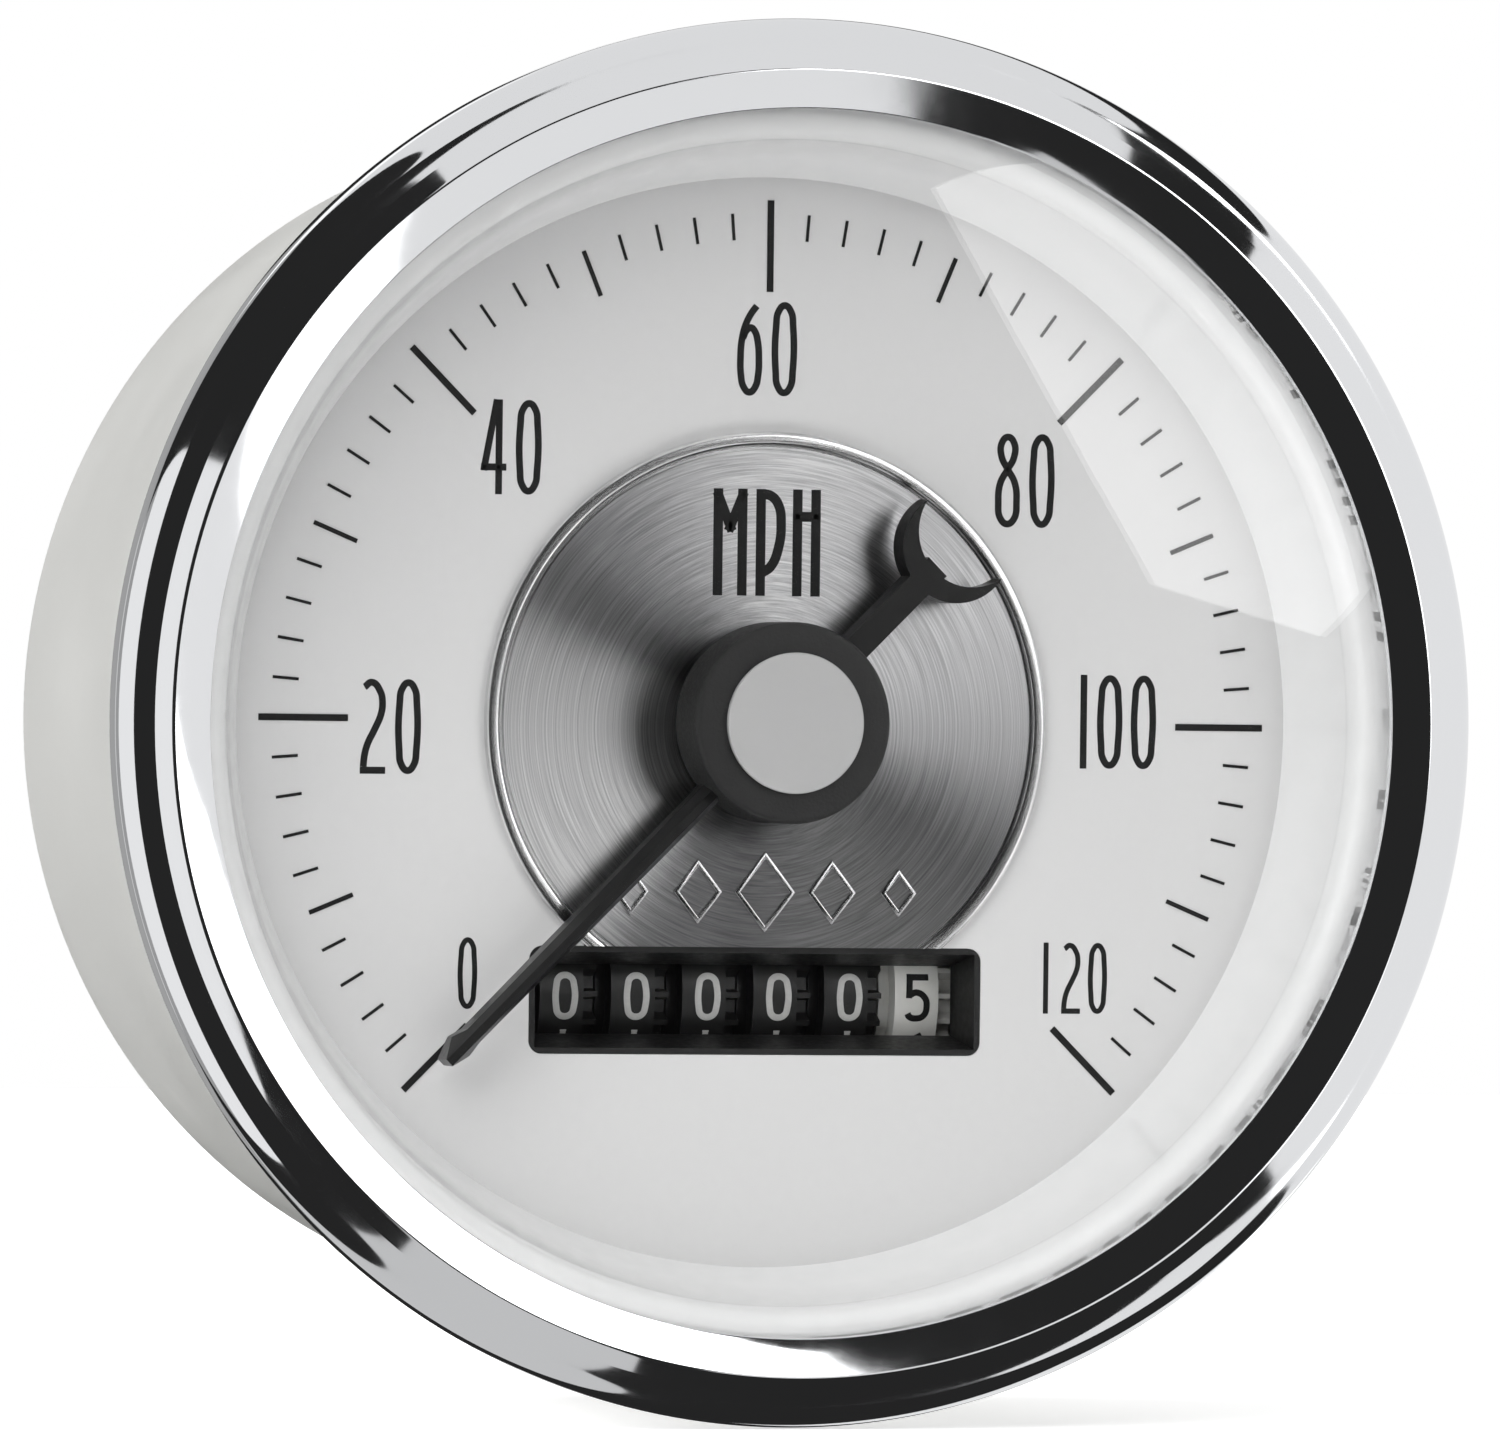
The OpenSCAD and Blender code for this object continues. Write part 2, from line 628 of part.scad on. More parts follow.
// Thin steel spindle that carries the pointer in front and the speed cup behind
module spindle() color("silver") toward_reader() disc_at(spindle_end, spindle_r, spindle_top - spindle_end);

// Aluminium cup that the turning magnet drags round
module speed_cup() color("lightgray") toward_reader() difference() {
    union() {
        disc_at(cup_z, cup_r, cup_wall);
        ring(magnet_z + 1, cup_r - cup_wall, cup_r, cup_z - magnet_z - 1);
        disc_at(cup_z, collar_r, 1.9);
    }
    disc_at(cup_z - 1, spindle_r + part_gap, 4);
}

// Brass collet of the hairspring, with the finger that meets the stop
module spring_collet() color("goldenrod") toward_reader() difference() {
    union() {
        disc_at(spring_z - 0.3, collar_r, finger_z + 1.4 - spring_z);
        translate([-0.5, 0, finger_z]) cube([1, stop_y + 1.2, 0.8]);
    }
    disc_at(spring_z - 2, spindle_r + part_gap, 8);
}

// Flat hairspring that brings the pointer back to zero
spring_start = collar_r + spring_strip;
spring_slices = 28;
function spring_point(k, side) = let (a = 360 * k / spring_slices,
        r = spring_start + spring_step * k / spring_slices + side * spring_strip / 2) r * [cos(a), sin(a)];
spring_points = round(spring_turns * spring_slices);
module hairspring() color("steelblue") toward_reader() translate([0, 0, spring_z])
    linear_extrude(spring_h) polygon(concat(
        [for (k = [0:spring_points]) spring_point(k, 1)],
        [for (k = [spring_points:-1:0]) spring_point(k, -1)]));

// Brass stud on the bridge that holds the hairspring's outer end
module spring_stud() color("goldenrod") toward_reader() {
    end_r = spring_start + spring_turns * spring_step + spring_strip / 2 + 0.8;
    rotate([0, 0, 360 * spring_turns]) translate([end_r + part_gap, 0, bridge_front])
        cylinder(r = 0.8, h = spring_z + spring_h - bridge_front, $fn = 32);
}

// Flanged brass bush that the spindle turns in
module spindle_bush() color("goldenrod") toward_reader() difference() {
    union() {
        disc_at(bridge_z - 0.5, 2, bridge_t + 0.5);
        disc_at(bridge_front, 3, 0.4);
    }
    disc_at(bridge_z - 2, spindle_r + run_gap, 6);
}

// Steel bridge over the magnet, on the frame's four pillars
module bridge_plate() color("silver") toward_reader() difference() {
    translate([0, 0, bridge_z]) round_slab(2 * bridge_half, 2 * bridge_high, 2, bridge_t);
    disc_at(bridge_z - 1, 2 + part_gap, bridge_t + 2);
    at_pillars() disc_at(bridge_z - 1, screw_r + part_gap, bridge_t + 2);
    at_dial_feet() disc_at(bridge_z - 1, small_screw_r + part_gap, bridge_t + 2);
}

module screw(head_r, head_t, r, len) {
    slot_w = 0.5;
    translate([0, 0, -len]) cylinder(r = r, h = len + head_t / 2, $fn = 48);
    difference() {
        cylinder(r = head_r, h = head_t, $fn = 48);
        translate([-head_r - 1, -slot_w / 2, head_t * 0.6]) cube([2 * head_r + 2, slot_w, head_t]);
    }
}
module bridge_screws() color("silver") toward_reader()
    at_pillars() translate([0, 0, bridge_front]) screw(screw_head_r, screw_head_t, screw_r, screw_len);

module dial_screws() color("silver") toward_reader()
    at_dial_feet() translate([0, 0, bridge_z]) mirror([0, 0, 1])
        screw(small_head_r, small_head_t, small_screw_r, bridge_t + 3);

// Pin on the bridge that stops the pointer at zero
module stop_pin() color("silver") toward_reader() {
    pin_r = 0.5;
    translate([-0.5 - pin_r - run_gap, stop_y, bridge_front])
        cylinder(r = pin_r, h = finger_z + 1 - bridge_front, $fn = 32);
}

module at_studs() mirrored_x() translate([stud_x, 0, 0]) children();
module at_plate_screws() for (x = [left_plate_x - plate_foot_w / 2,
        right_plate_x + side_plate_t + plate_foot_w / 2], y = [-2.9, 2.9])
    translate([x, drum_y + y, 0]) children();
lug_top = cross_z + 2;
rear_lug_y = counter_y - worm_len / 2 - free_gap - lug_t - 1;
front_lug_y = 2.6;
counter_lug_x = cross_x - worm_tip - free_gap - lug_t;

// Die-cast frame with its pillars, stud bosses and shaft lugs
module movement_frame() color("lightslategray") toward_reader() difference() {
    union() {
        intersection() {
            translate([0, (base_low + bridge_high) / 2, base_z])
                round_slab(2 * base_half, bridge_high - base_low, 4, base_t);
            disc_at(base_z - 1, base_fit_r, base_t + 2);
        }
        disc_at(base_z, base_r, base_t);
        at_pillars() disc_at(base_z, pillar_r, bridge_z - base_z);
        at_studs() disc_at(base_z, stud_r + 1.4, base_t + 3);
        for (y = [front_lug_y, rear_lug_y])
            translate([cross_x - lug_w / 2, y, base_z]) cube([lug_w, lug_t, lug_top - base_z]);
        translate([counter_lug_x, counter_y - lug_w / 2, base_z])
            cube([lug_t, lug_w, counter_z + 2 - base_z]);
    }
    disc_at(base_z - 1, spigot_r + part_gap, base_t + 2);
    at_pillars() disc_at(bridge_z - screw_len, screw_r + part_gap, screw_len + 2);
    at_studs() disc_at(base_z - 1, stud_shank_r + part_gap, base_t + 5);
    at_plate_screws() disc_at(base_z + 0.5, small_screw_r + part_gap, base_t);
    on_y_axis([cross_x, 0, cross_z]) translate([0, 0, -40]) cylinder(r = shaft_r + run_gap, h = 60);
    on_x_axis([counter_lug_x - 1, counter_y, counter_z]) cylinder(r = shaft_r + run_gap, h = lug_t + 2);
}

// Turned cable nose, riveted through the case's back into the frame
module cable_nose() color("silver") toward_reader() difference() {
    union() {
        disc_at(nose_end, nose_r, nose_len);
        disc_at(case_back, spigot_r, base_top - case_back);
    }
    disc_at(nose_end - 1, ferrule_r, ferrule_depth + 1);
    disc_at(input_z - 1, bush_r + part_gap, base_top - input_z + 2);
}

// Sintered bush that the input shaft turns in
module input_bush() color("peru") toward_reader()
    ring(input_z, journal_r + run_gap, bush_r, base_top - input_z);

// Steel input shaft with a square hole for the cable's end
input_top = magnet_z + magnet_t + 0.3;
module input_shaft() color("darkgray") toward_reader() difference() {
    union() {
        disc_at(input_z + 0.2, journal_r, base_top + 0.2 - input_z);
        disc_at(base_top + run_gap, journal_r + 1.2, 0.5);
        disc_at(base_top, input_r, input_top - base_top);
    }
    translate([-square_w / 2, -square_w / 2, input_z - 1]) cube([square_w, square_w, 7]);
    disc_at(spindle_end - 0.3, spindle_r + run_gap, 6);
}

module magnet() color("dimgray") toward_reader() ring(magnet_z, input_r + part_gap, magnet_r, magnet_t);

// Soft iron field cup behind and round the speed cup
module field_cup() color("gray") toward_reader() {
    ring(field_z, input_r + part_gap, field_r, field_t);
    ring(magnet_z, field_r - field_t, field_r, magnet_t - 0.6);
}

module input_worm() color("goldenrod") toward_reader() translate([0, 0, cross_z]) worm(input_r + part_gap);

// Cross shaft with its wheel on the input worm and its own worm under the countershaft
module cross_shaft() color("silver") toward_reader() {
    start_y = rear_lug_y - 0.5;
    on_y_axis([cross_x, start_y, cross_z]) cylinder(r = shaft_r, h = front_lug_y + lug_t + 0.5 - start_y);
}
module cross_wheel() color("ivory") toward_reader() on_y_axis([cross_x, -worm_wheel_t / 2, cross_z])
    difference() {
        gear(drive_m, wheel_teeth, cross_wheel_phase, worm_wheel_t);
        translate([0, 0, -1]) cylinder(r = shaft_r + part_gap, h = worm_wheel_t + 2);
    }
module cross_worm() color("goldenrod") toward_reader()
    on_y_axis([cross_x, counter_y, cross_z]) worm(shaft_r + part_gap);

// Countershaft that carries the last reduction to the odometer
module countershaft() color("silver") toward_reader() {
    start_x = counter_lug_x - 0.5;
    on_x_axis([start_x, counter_y, counter_z])
        cylinder(r = shaft_r, h = right_plate_x + side_plate_t + 0.3 - start_x);
}
module counter_wheel() color("ivory") toward_reader()
    on_x_axis([cross_x - worm_wheel_t / 2, counter_y, counter_z]) difference() {
        gear(drive_m, wheel_teeth, counter_wheel_phase, worm_wheel_t);
        translate([0, 0, -1]) cylinder(r = shaft_r + part_gap, h = worm_wheel_t + 2);
    }
module drive_pinion() color("goldenrod") toward_reader()
    on_x_axis([train_x, counter_y, counter_z]) difference() {
        gear(drive_m, pinion_teeth, drive_pinion_phase, gear_t);
        translate([0, 0, -1]) cylinder(r = shaft_r + part_gap, h = gear_t + 2);
    }

// Idler between the countershaft and the tenths drum, on a stub in the right plate
module idler_gear() color("ivory") toward_reader() on_x_axis([train_x, idler_y, idler_z]) difference() {
    gear(drive_m, wheel_teeth, idler_phase, gear_t);
    translate([0, 0, -1]) cylinder(r = axle_r + run_gap, h = gear_t + 2);
}
module idler_stub() color("silver") toward_reader() {
    head_t = 0.4;
    on_x_axis([train_x - 0.1 - head_t, idler_y, idler_z]) {
        cylinder(r = axle_r + 0.6, h = head_t);
        cylinder(r = axle_r, h = right_plate_x + side_plate_t - train_x + 0.1 + head_t);
        translate([0, 0, head_t + gear_t + 0.2])
            cylinder(r = axle_r + 0.6, h = right_plate_x - train_x - gear_t - 0.1);
    }
}

module odometer_axle() color("silver") toward_reader() {
    on_x_axis([left_plate_x - 0.5, drum_y, drum_z]) {
        cylinder(r = axle_r, h = right_plate_x + side_plate_t + 1 - left_plate_x);
        cylinder(r = axle_r + 0.8, h = 0.5);
    }
}

// A number drum: its band, the gear on its right, and the latch with two teeth on its left
module drum(index, gear_m, gear_width, has_latch_teeth) toward_reader()
    on_x_axis([(index - 2.5) * drum_pitch, drum_y, drum_z]) difference() {
        latch_tip = carry_m * (wheel_teeth / 2 + addendum);
        union() {
            translate([0, 0, band_left]) cylinder(r = drum_r, h = band_w);
            translate([0, 0, band_right]) gear(gear_m, wheel_teeth, drum_phase, gear_width);
            translate([0, 0, band_left - latch_t]) cylinder(r = latch_r, h = latch_t);
            if (has_latch_teeth) for (side = [-1, 1])
                rotate([0, 0, carry_angle + 180 + side * half_tooth])
                    translate([0, -0.4, band_left - latch_t]) cube([latch_tip, 0.8, latch_t]);
        }
        translate([0, 0, band_left - latch_t - 1]) cylinder(r = axle_r + run_gap, h = 2 * drum_pitch);
    }
module drum_ten_thousands() color("#1a1a1a") drum(0, carry_m, carry_gear_t, false);
module drum_thousands() color("#1a1a1a") drum(1, carry_m, carry_gear_t, true);
module drum_hundreds() color("#1a1a1a") drum(2, carry_m, carry_gear_t, true);
module drum_tens() color("#1a1a1a") drum(3, carry_m, carry_gear_t, true);
module drum_units() color("#1a1a1a") drum(4, carry_m, carry_gear_t, true);
module drum_tenths() color("ivory") drum(5, drive_m, tenths_gear_t, true);

// Fixed shaft of the carry pinions, which reach into the gaps between the drums
module carry_shaft() color("silver") toward_reader()
    on_x_axis([left_plate_x - 0.2, carry_y, carry_z])
        cylinder(r = carry_shaft_r, h = right_plate_x + side_plate_t + 0.4 - left_plate_x);
module carry_pinion(index) color("ivory") toward_reader()
    on_x_axis([(index - 3.5) * drum_pitch + band_right + 0.1, carry_y, carry_z]) difference() {
        width = drum_gap - side_gap;
        gear(carry_m, pinion_teeth, carry_phase, width);
        translate([0, 0, -1]) cylinder(r = carry_shaft_r + run_gap, h = width + 2);
    }
module carry_pinion_1() carry_pinion(1);
module carry_pinion_2() carry_pinion(2);
module carry_pinion_3() carry_pinion(3);
module carry_pinion_4() carry_pinion(4);
module carry_pinion_5() carry_pinion(5);

// Steel side plate of the odometer, with a foot that is screwed to the frame
module side_plate(x, foot_side) difference() {
    foot_x0 = foot_side > 0 ? x : x - plate_foot_w;
    union() {
        translate([x, plate_low, base_top]) cube([side_plate_t, plate_high - plate_low, plate_top - base_top]);
        translate([foot_x0, drum_y - 5, base_top]) cube([plate_foot_w + side_plate_t, 10, side_plate_t]);
    }
    on_x_axis([x - 1, drum_y, drum_z]) cylinder(r = axle_r + part_gap, h = side_plate_t + 2);
    on_x_axis([x - 1, carry_y, carry_z]) cylinder(r = carry_shaft_r + part_gap, h = side_plate_t + 2);
    at_plate_screws() disc_at(base_top - 1, small_screw_r + part_gap, side_plate_t + 2);
    children();
}
module side_plate_left() color("silver") toward_reader() side_plate(left_plate_x, -1);
module side_plate_right() color("silver") toward_reader() side_plate(right_plate_x, 1) {
    on_x_axis([right_plate_x - 1, idler_y, idler_z]) cylinder(r = axle_r + part_gap, h = side_plate_t + 2);
    on_x_axis([right_plate_x - 1, counter_y, counter_z]) cylinder(r = shaft_r + run_gap, h = side_plate_t + 2);
}
module side_plate_screws() color("silver") toward_reader()
    at_plate_screws() translate([0, 0, base_top + side_plate_t])
        screw(small_head_r, small_head_t, small_screw_r, side_plate_t + base_t - 1);

module at_lamps() mirrored_x() rotate([0, 0, lamp_angle]) translate([lamp_r, 0, 0]) children();

// Drawn and plated steel cup with a flange in front
module case() color("gainsboro") toward_reader() difference() {
    rotate_extrude($fn = 180) {
        inner_corner = case_corner - case_metal;
        corner_z = case_back + case_corner;
        corner_r = case_back_r - case_corner;
        polygon(concat(
            [[rim_r, lip_z], [rim_r, flange_z], [neck_r + neck_root, flange_z], [neck_r, 0],
                [neck_r, -neck_len]],
            arc(corner_r, corner_z, case_corner, case_corner, 0, -90),
            [[0, case_back], [0, case_back + case_metal]],
            arc(corner_r, corner_z, inner_corner, inner_corner, -90, 0),
            [[neck_r - case_metal, -neck_len], [neck_r - case_metal, lip_z]]));
    }
    disc_at(case_back - 1, spigot_r + 2 * part_gap, 3);
    at_studs() disc_at(case_back - 1, stud_shank_r + 2 * part_gap, 3);
    at_lamps() disc_at(case_back - 1, sleeve_r + 2 * part_gap, 3);
}

// Moulded lamp socket, a flange outside the case and a sleeve inside
socket_inside = 6;
socket_floor = 2;
bulb_cap_r = 3.3;
bulb_cap_len = 10;
bulb_neck_r = 2.6;
bulb_neck_len = 4;
bulb_r = 3.9;
sleeve_r = socket_r - 1;
module lamp_sockets() color("#333333") toward_reader() at_lamps() difference() {
    union() {
        disc_at(case_back - socket_len, socket_r, socket_len - 1);
        disc_at(case_back - 1, socket_r + 1, 1);
        disc_at(case_back - 1, sleeve_r, socket_inside + 1);
    }
    disc_at(case_back - socket_len + socket_floor, bulb_cap_r + part_gap, socket_len + socket_inside);
}
module lamp_bulbs() color("lightyellow", 0.6) toward_reader() at_lamps() {
    cap_z = case_back + socket_inside - bulb_cap_len + 1;
    disc_at(cap_z, bulb_cap_r, bulb_cap_len);
    disc_at(cap_z + bulb_cap_len, bulb_neck_r, bulb_neck_len);
    translate([0, 0, cap_z + bulb_cap_len + bulb_neck_len]) sphere(r = bulb_r, $fn = 48);
}

// Steel studs for the clamp bracket, each turned in one piece with a hex collar against the case
washer_t = 0.8;
collar_t = 3.2;
stud_shank_r = stud_r - 0.4;
collar_z = case_back - washer_t - collar_t;
module mounting_studs() color("silver") toward_reader() at_studs() {
    disc_at(case_back - stud_len, stud_r, collar_z - case_back + stud_len);
    translate([0, 0, collar_z]) cylinder(d = 2.27 * stud_d, h = collar_t, $fn = 6);
    disc_at(collar_z, stud_shank_r, collar_t + washer_t + case_metal + base_t + 2);
}
module stud_washers() color("silver") toward_reader() at_studs()
    ring(case_back - washer_t, stud_shank_r + part_gap, stud_r + 2.4, washer_t);

bezel();
lens_gasket();
lens();
reflector_ring();
dial_plate();
dial_marks();
centre_disc();
disc_ornament();
odometer_shroud();
pointer_blade();
pointer_hub();
pointer_cap();
spindle();
speed_cup();
spring_collet();
hairspring();
spring_stud();
spindle_bush();
bridge_plate();
bridge_screws();
dial_screws();
stop_pin();
movement_frame();
cable_nose();
input_shaft();
input_bush();
magnet();
field_cup();
input_worm();
cross_shaft();
cross_wheel();
cross_worm();
countershaft();
counter_wheel();
drive_pinion();
idler_gear();
idler_stub();
odometer_axle();
drum_ten_thousands();
drum_thousands();
drum_hundreds();
drum_tens();
drum_units();
drum_tenths();
carry_shaft();
carry_pinion_1();
carry_pinion_2();
carry_pinion_3();
carry_pinion_4();
carry_pinion_5();
side_plate_left();
side_plate_right();
side_plate_screws();
case();
lamp_sockets();
lamp_bulbs();
mounting_studs();
stud_washers();
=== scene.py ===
import math

import bmesh
import bpy
from mathutils import Matrix, Vector


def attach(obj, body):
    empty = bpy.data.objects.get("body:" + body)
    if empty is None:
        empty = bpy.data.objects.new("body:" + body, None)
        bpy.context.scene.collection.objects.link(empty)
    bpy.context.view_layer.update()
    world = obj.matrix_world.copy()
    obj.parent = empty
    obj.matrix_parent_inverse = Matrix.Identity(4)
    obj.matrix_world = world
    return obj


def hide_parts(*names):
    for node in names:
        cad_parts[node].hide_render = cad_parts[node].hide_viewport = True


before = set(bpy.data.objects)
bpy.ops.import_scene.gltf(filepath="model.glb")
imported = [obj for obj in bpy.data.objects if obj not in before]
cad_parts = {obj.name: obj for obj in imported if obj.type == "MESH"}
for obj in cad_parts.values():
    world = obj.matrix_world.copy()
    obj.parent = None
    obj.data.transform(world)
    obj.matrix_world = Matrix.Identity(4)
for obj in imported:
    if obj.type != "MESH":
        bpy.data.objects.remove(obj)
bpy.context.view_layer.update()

# Every piece is modelled in millimetres, flat on its back with the dial's axis along Z, and then stood up
IN_FRAME = Matrix.Rotation(math.radians(90), 4, "X") @ Matrix.Scale(0.001, 4)


def linear(colour):
    """An sRGB colour such as #C8C8C8 in the linear values that Blender's sockets take."""
    channels = [int(colour[i:i + 2], 16) / 255 for i in (1, 3, 5)]
    return tuple(c / 12.92 if c <= 0.04045 else ((c + 0.055) / 1.055) ** 2.4 for c in channels) + (1,)


def add(tree, kind, links=None, values=None, **settings):
    """Adds a node with its settings, the values of its sockets and the sockets that feed it."""
    made = tree.nodes.new(kind)
    for key, value in settings.items():
        setattr(made, key, value)
    for key, value in (values or {}).items():
        made.inputs[key].default_value = value
    for key, source in (links or {}).items():
        tree.links.new(source, made.inputs[key])
    return made


def surface(name, colour, roughness, **sockets):
    """A new material: its nodes and its shader, which starts as a plain surface of that colour."""
    made = bpy.data.materials.new(name)
    made.use_nodes = True
    shader = made.node_tree.nodes["Principled BSDF"]
    shader.inputs["Base Color"].default_value = linear(colour)
    shader.inputs["Roughness"].default_value = roughness
    for key, value in sockets.items():
        shader.inputs[key.replace("_", " ")].default_value = value
    return made, made.node_tree, shader


def arc(x, z, wide, high, start, end, steps=12):
    """Points of an elliptical arc from one angle to the other, in degrees."""
    turns = [math.radians(start + (end - start) * i / steps) for i in range(steps + 1)]
    return [(x + wide * math.cos(t), z + high * math.sin(t)) for t in turns]


def spun(profile, closed=True, steps=192):
    """The solid that a profile of (radius, height) points in mm makes round the dial's axis."""
    shape = bmesh.new()
    points = [shape.verts.new((radius, 0, height)) for radius, height in profile]
    following = points[1:] + points[:1] if closed else points[1:]
    edges = [shape.edges.new(pair) for pair in zip(points, following)]
    bmesh.ops.spin(shape, geom=points + edges, cent=(0, 0, 0), axis=(0, 0, 1), dvec=(0, 0, 0),
                   angle=math.tau, steps=steps, use_merge=True)
    bmesh.ops.remove_doubles(shape, verts=shape.verts, dist=0.0005)
    bmesh.ops.recalc_face_normals(shape, faces=shape.faces)
    return shape


def piece(name, shape, body, finish, stands_for=None, crease=32):
    """Puts a solid in the frame as a piece that rides on a body and may stand for a CAD node."""
    for face in shape.faces:
        face.smooth = True
    for edge in shape.edges:
        edge.smooth = len(edge.link_faces) == 2 and edge.calc_face_angle() < math.radians(crease)
    shape.transform(IN_FRAME)
    mesh = bpy.data.meshes.new(name)
    shape.to_mesh(mesh)
    shape.free()
    made = bpy.data.objects.new(name, mesh)
    bpy.context.scene.collection.objects.link(made)
    mesh.materials.append(finish)
    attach(made, body)
    if stands_for:
        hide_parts(stands_for)
    return made


# Bright zinc plating over drawn steel: a soft satin shine with faint draw lines along the can. The lines
# stand about 0.9 mm apart, and the bloom of the plating comes in patches some 18 mm wide.
bright_zinc, tree, shader = surface("bright_zinc_plated_steel", "#D9D9D6", 0.3, Metallic=0.72)
place = add(tree, "ShaderNodeTexCoord")
along = add(tree, "ShaderNodeMapping", {"Vector": place.outputs["Object"]}, {"Scale": (1.0, 0.06, 1.0)})
draw_lines = add(tree, "ShaderNodeTexNoise", {"Vector": along.outputs["Vector"]},
                 {"Scale": 1100.0, "Detail": 3.0, "Roughness": 0.6})
bloom = add(tree, "ShaderNodeTexNoise", {"Vector": place.outputs["Object"]},
            {"Scale": 55.0, "Detail": 5.0, "Roughness": 0.6})
tint = add(tree, "ShaderNodeMix", {0: bloom.outputs["Fac"]}, {6: linear("#DADAD6"), 7: linear("#EAEAE7")},
           data_type="RGBA")
gloss = add(tree, "ShaderNodeMapRange", {"Value": bloom.outputs["Fac"]},
            {"From Min": 0.3, "From Max": 0.7, "To Min": 0.29, "To Max": 0.38})
lines = add(tree, "ShaderNodeBump", {"Height": draw_lines.outputs["Fac"]},
            {"Strength": 0.2, "Distance": 0.00001})
tree.links.new(tint.outputs[2], shader.inputs["Base Color"])
tree.links.new(gloss.outputs["Result"], shader.inputs["Roughness"])
tree.links.new(lines.outputs["Normal"], shader.inputs["Normal"])

CASE_R = 42.5
CASE_BACK = -50.3625
CASE_WALL = 0.6
BACK_R = 38.3
BEND = 2
FLANGE_R = 45.3
MOUTH_R = CASE_R - CASE_WALL
INNER_BEND = BEND - CASE_WALL
case_skin = ([(BACK_R, CASE_BACK)] + arc(BACK_R, CASE_BACK + BEND, BEND, BEND, -90, 0)
             + [(CASE_R, -8), (CASE_R, -4), (CASE_R, 0), (CASE_R + 0.8, CASE_WALL), (FLANGE_R, CASE_WALL),
                (FLANGE_R, 2 * CASE_WALL), (MOUTH_R, 2 * CASE_WALL), (MOUTH_R, -8)]
             + arc(BACK_R, CASE_BACK + BEND, INNER_BEND, INNER_BEND, 0, -90)
             + [(BACK_R, CASE_BACK + CASE_WALL)])
case = spun(case_skin, closed=False)
# The back is a disc with its pierced holes: the nose's, two for the studs and two for the lamps
LAMP_OUT = 30
LAMP_RISE = math.radians(37)
LAMPS = [(side * LAMP_OUT * math.cos(LAMP_RISE), LAMP_OUT * math.sin(LAMP_RISE)) for side in (-1, 1)]
STUDS = [(-21, 0), (21, 0)]
NOSE_HOLE_R = 8.04
LAMP_HOLE_R = 4.54
STUD_HOLE_R = 2.05
pierced = [(0, 0, NOSE_HOLE_R)]
pierced += [(x, y, LAMP_HOLE_R) for x, y in LAMPS]
pierced += [(x, y, STUD_HOLE_R) for x, y in STUDS]
rims = bmesh.ops.create_circle(case, segments=192, radius=BACK_R)["verts"]
for x, y, radius in pierced:
    at = Matrix.Translation((x, y, 0))
    rims += bmesh.ops.create_circle(case, segments=48, radius=radius, matrix=at)["verts"]
rim_edges = list({edge for vert in rims for edge in vert.link_edges})
back = bmesh.ops.triangle_fill(case, use_beauty=True, use_dissolve=False, edges=rim_edges, normal=(0, 0, 1))
back_faces = [f for f in back["geom"] if isinstance(f, bmesh.types.BMFace)]
bmesh.ops.translate(case, verts=rims, vec=(0, 0, CASE_BACK))
thick = bmesh.ops.extrude_face_region(case, geom=back_faces, use_keep_orig=True)
raised = [v for v in thick["geom"] if isinstance(v, bmesh.types.BMVert)]
bmesh.ops.translate(case, verts=raised, vec=(0, 0, CASE_WALL))
edge_wall = [f for f in case.faces if all(abs(v.co.xy.length - BACK_R) < 0.001 for v in f.verts)
             and abs(f.normal.z) < 0.5]
bmesh.ops.delete(case, geom=edge_wall, context="FACES_ONLY")
bmesh.ops.remove_doubles(case, verts=case.verts, dist=0.002)
bmesh.ops.recalc_face_normals(case, faces=case.faces)
piece("case_can", case, "housing", bright_zinc, "case")

# Cable nose
# A turned zinc tube, riveted in the middle of the case's back. The cable's nut screws on its thread, and
# the cable's ferrule enters its bore.


def mottle(tree, shader, size, dark, light, smooth, rough, depth, detail=4.0):
    """Varies the colour, roughness and height over spots of that size; size and depth are in mm."""
    place = add(tree, "ShaderNodeTexCoord")
    spots = add(tree, "ShaderNodeTexNoise", {"Vector": place.outputs["Object"]},
                {"Scale": 1000 / size, "Detail": detail, "Roughness": 0.55})
    tint = add(tree, "ShaderNodeMix", {0: spots.outputs["Fac"]}, {6: linear(dark), 7: linear(light)},
               data_type="RGBA")
    gloss = add(tree, "ShaderNodeMapRange", {"Value": spots.outputs["Fac"]},
                {"From Min": 0.3, "From Max": 0.7, "To Min": smooth, "To Max": rough})
    height = add(tree, "ShaderNodeBump", {"Height": spots.outputs["Fac"]},
                 {"Strength": 1.0, "Distance": depth / 1000})
    tree.links.new(tint.outputs[2], shader.inputs["Base Color"])
    tree.links.new(gloss.outputs["Result"], shader.inputs["Roughness"])
    tree.links.new(height.outputs["Normal"], shader.inputs["Normal"])


# Die-cast zinc, turned on a lathe: a dull grey shine
turned_zinc, tree, shader = surface("turned_die_cast_zinc", "#B4B4B2", 0.36, Metallic=1.0)
mottle(tree, shader, 0.9, "#A9A9A8", "#C4C4C2", 0.3, 0.46, 0.004)


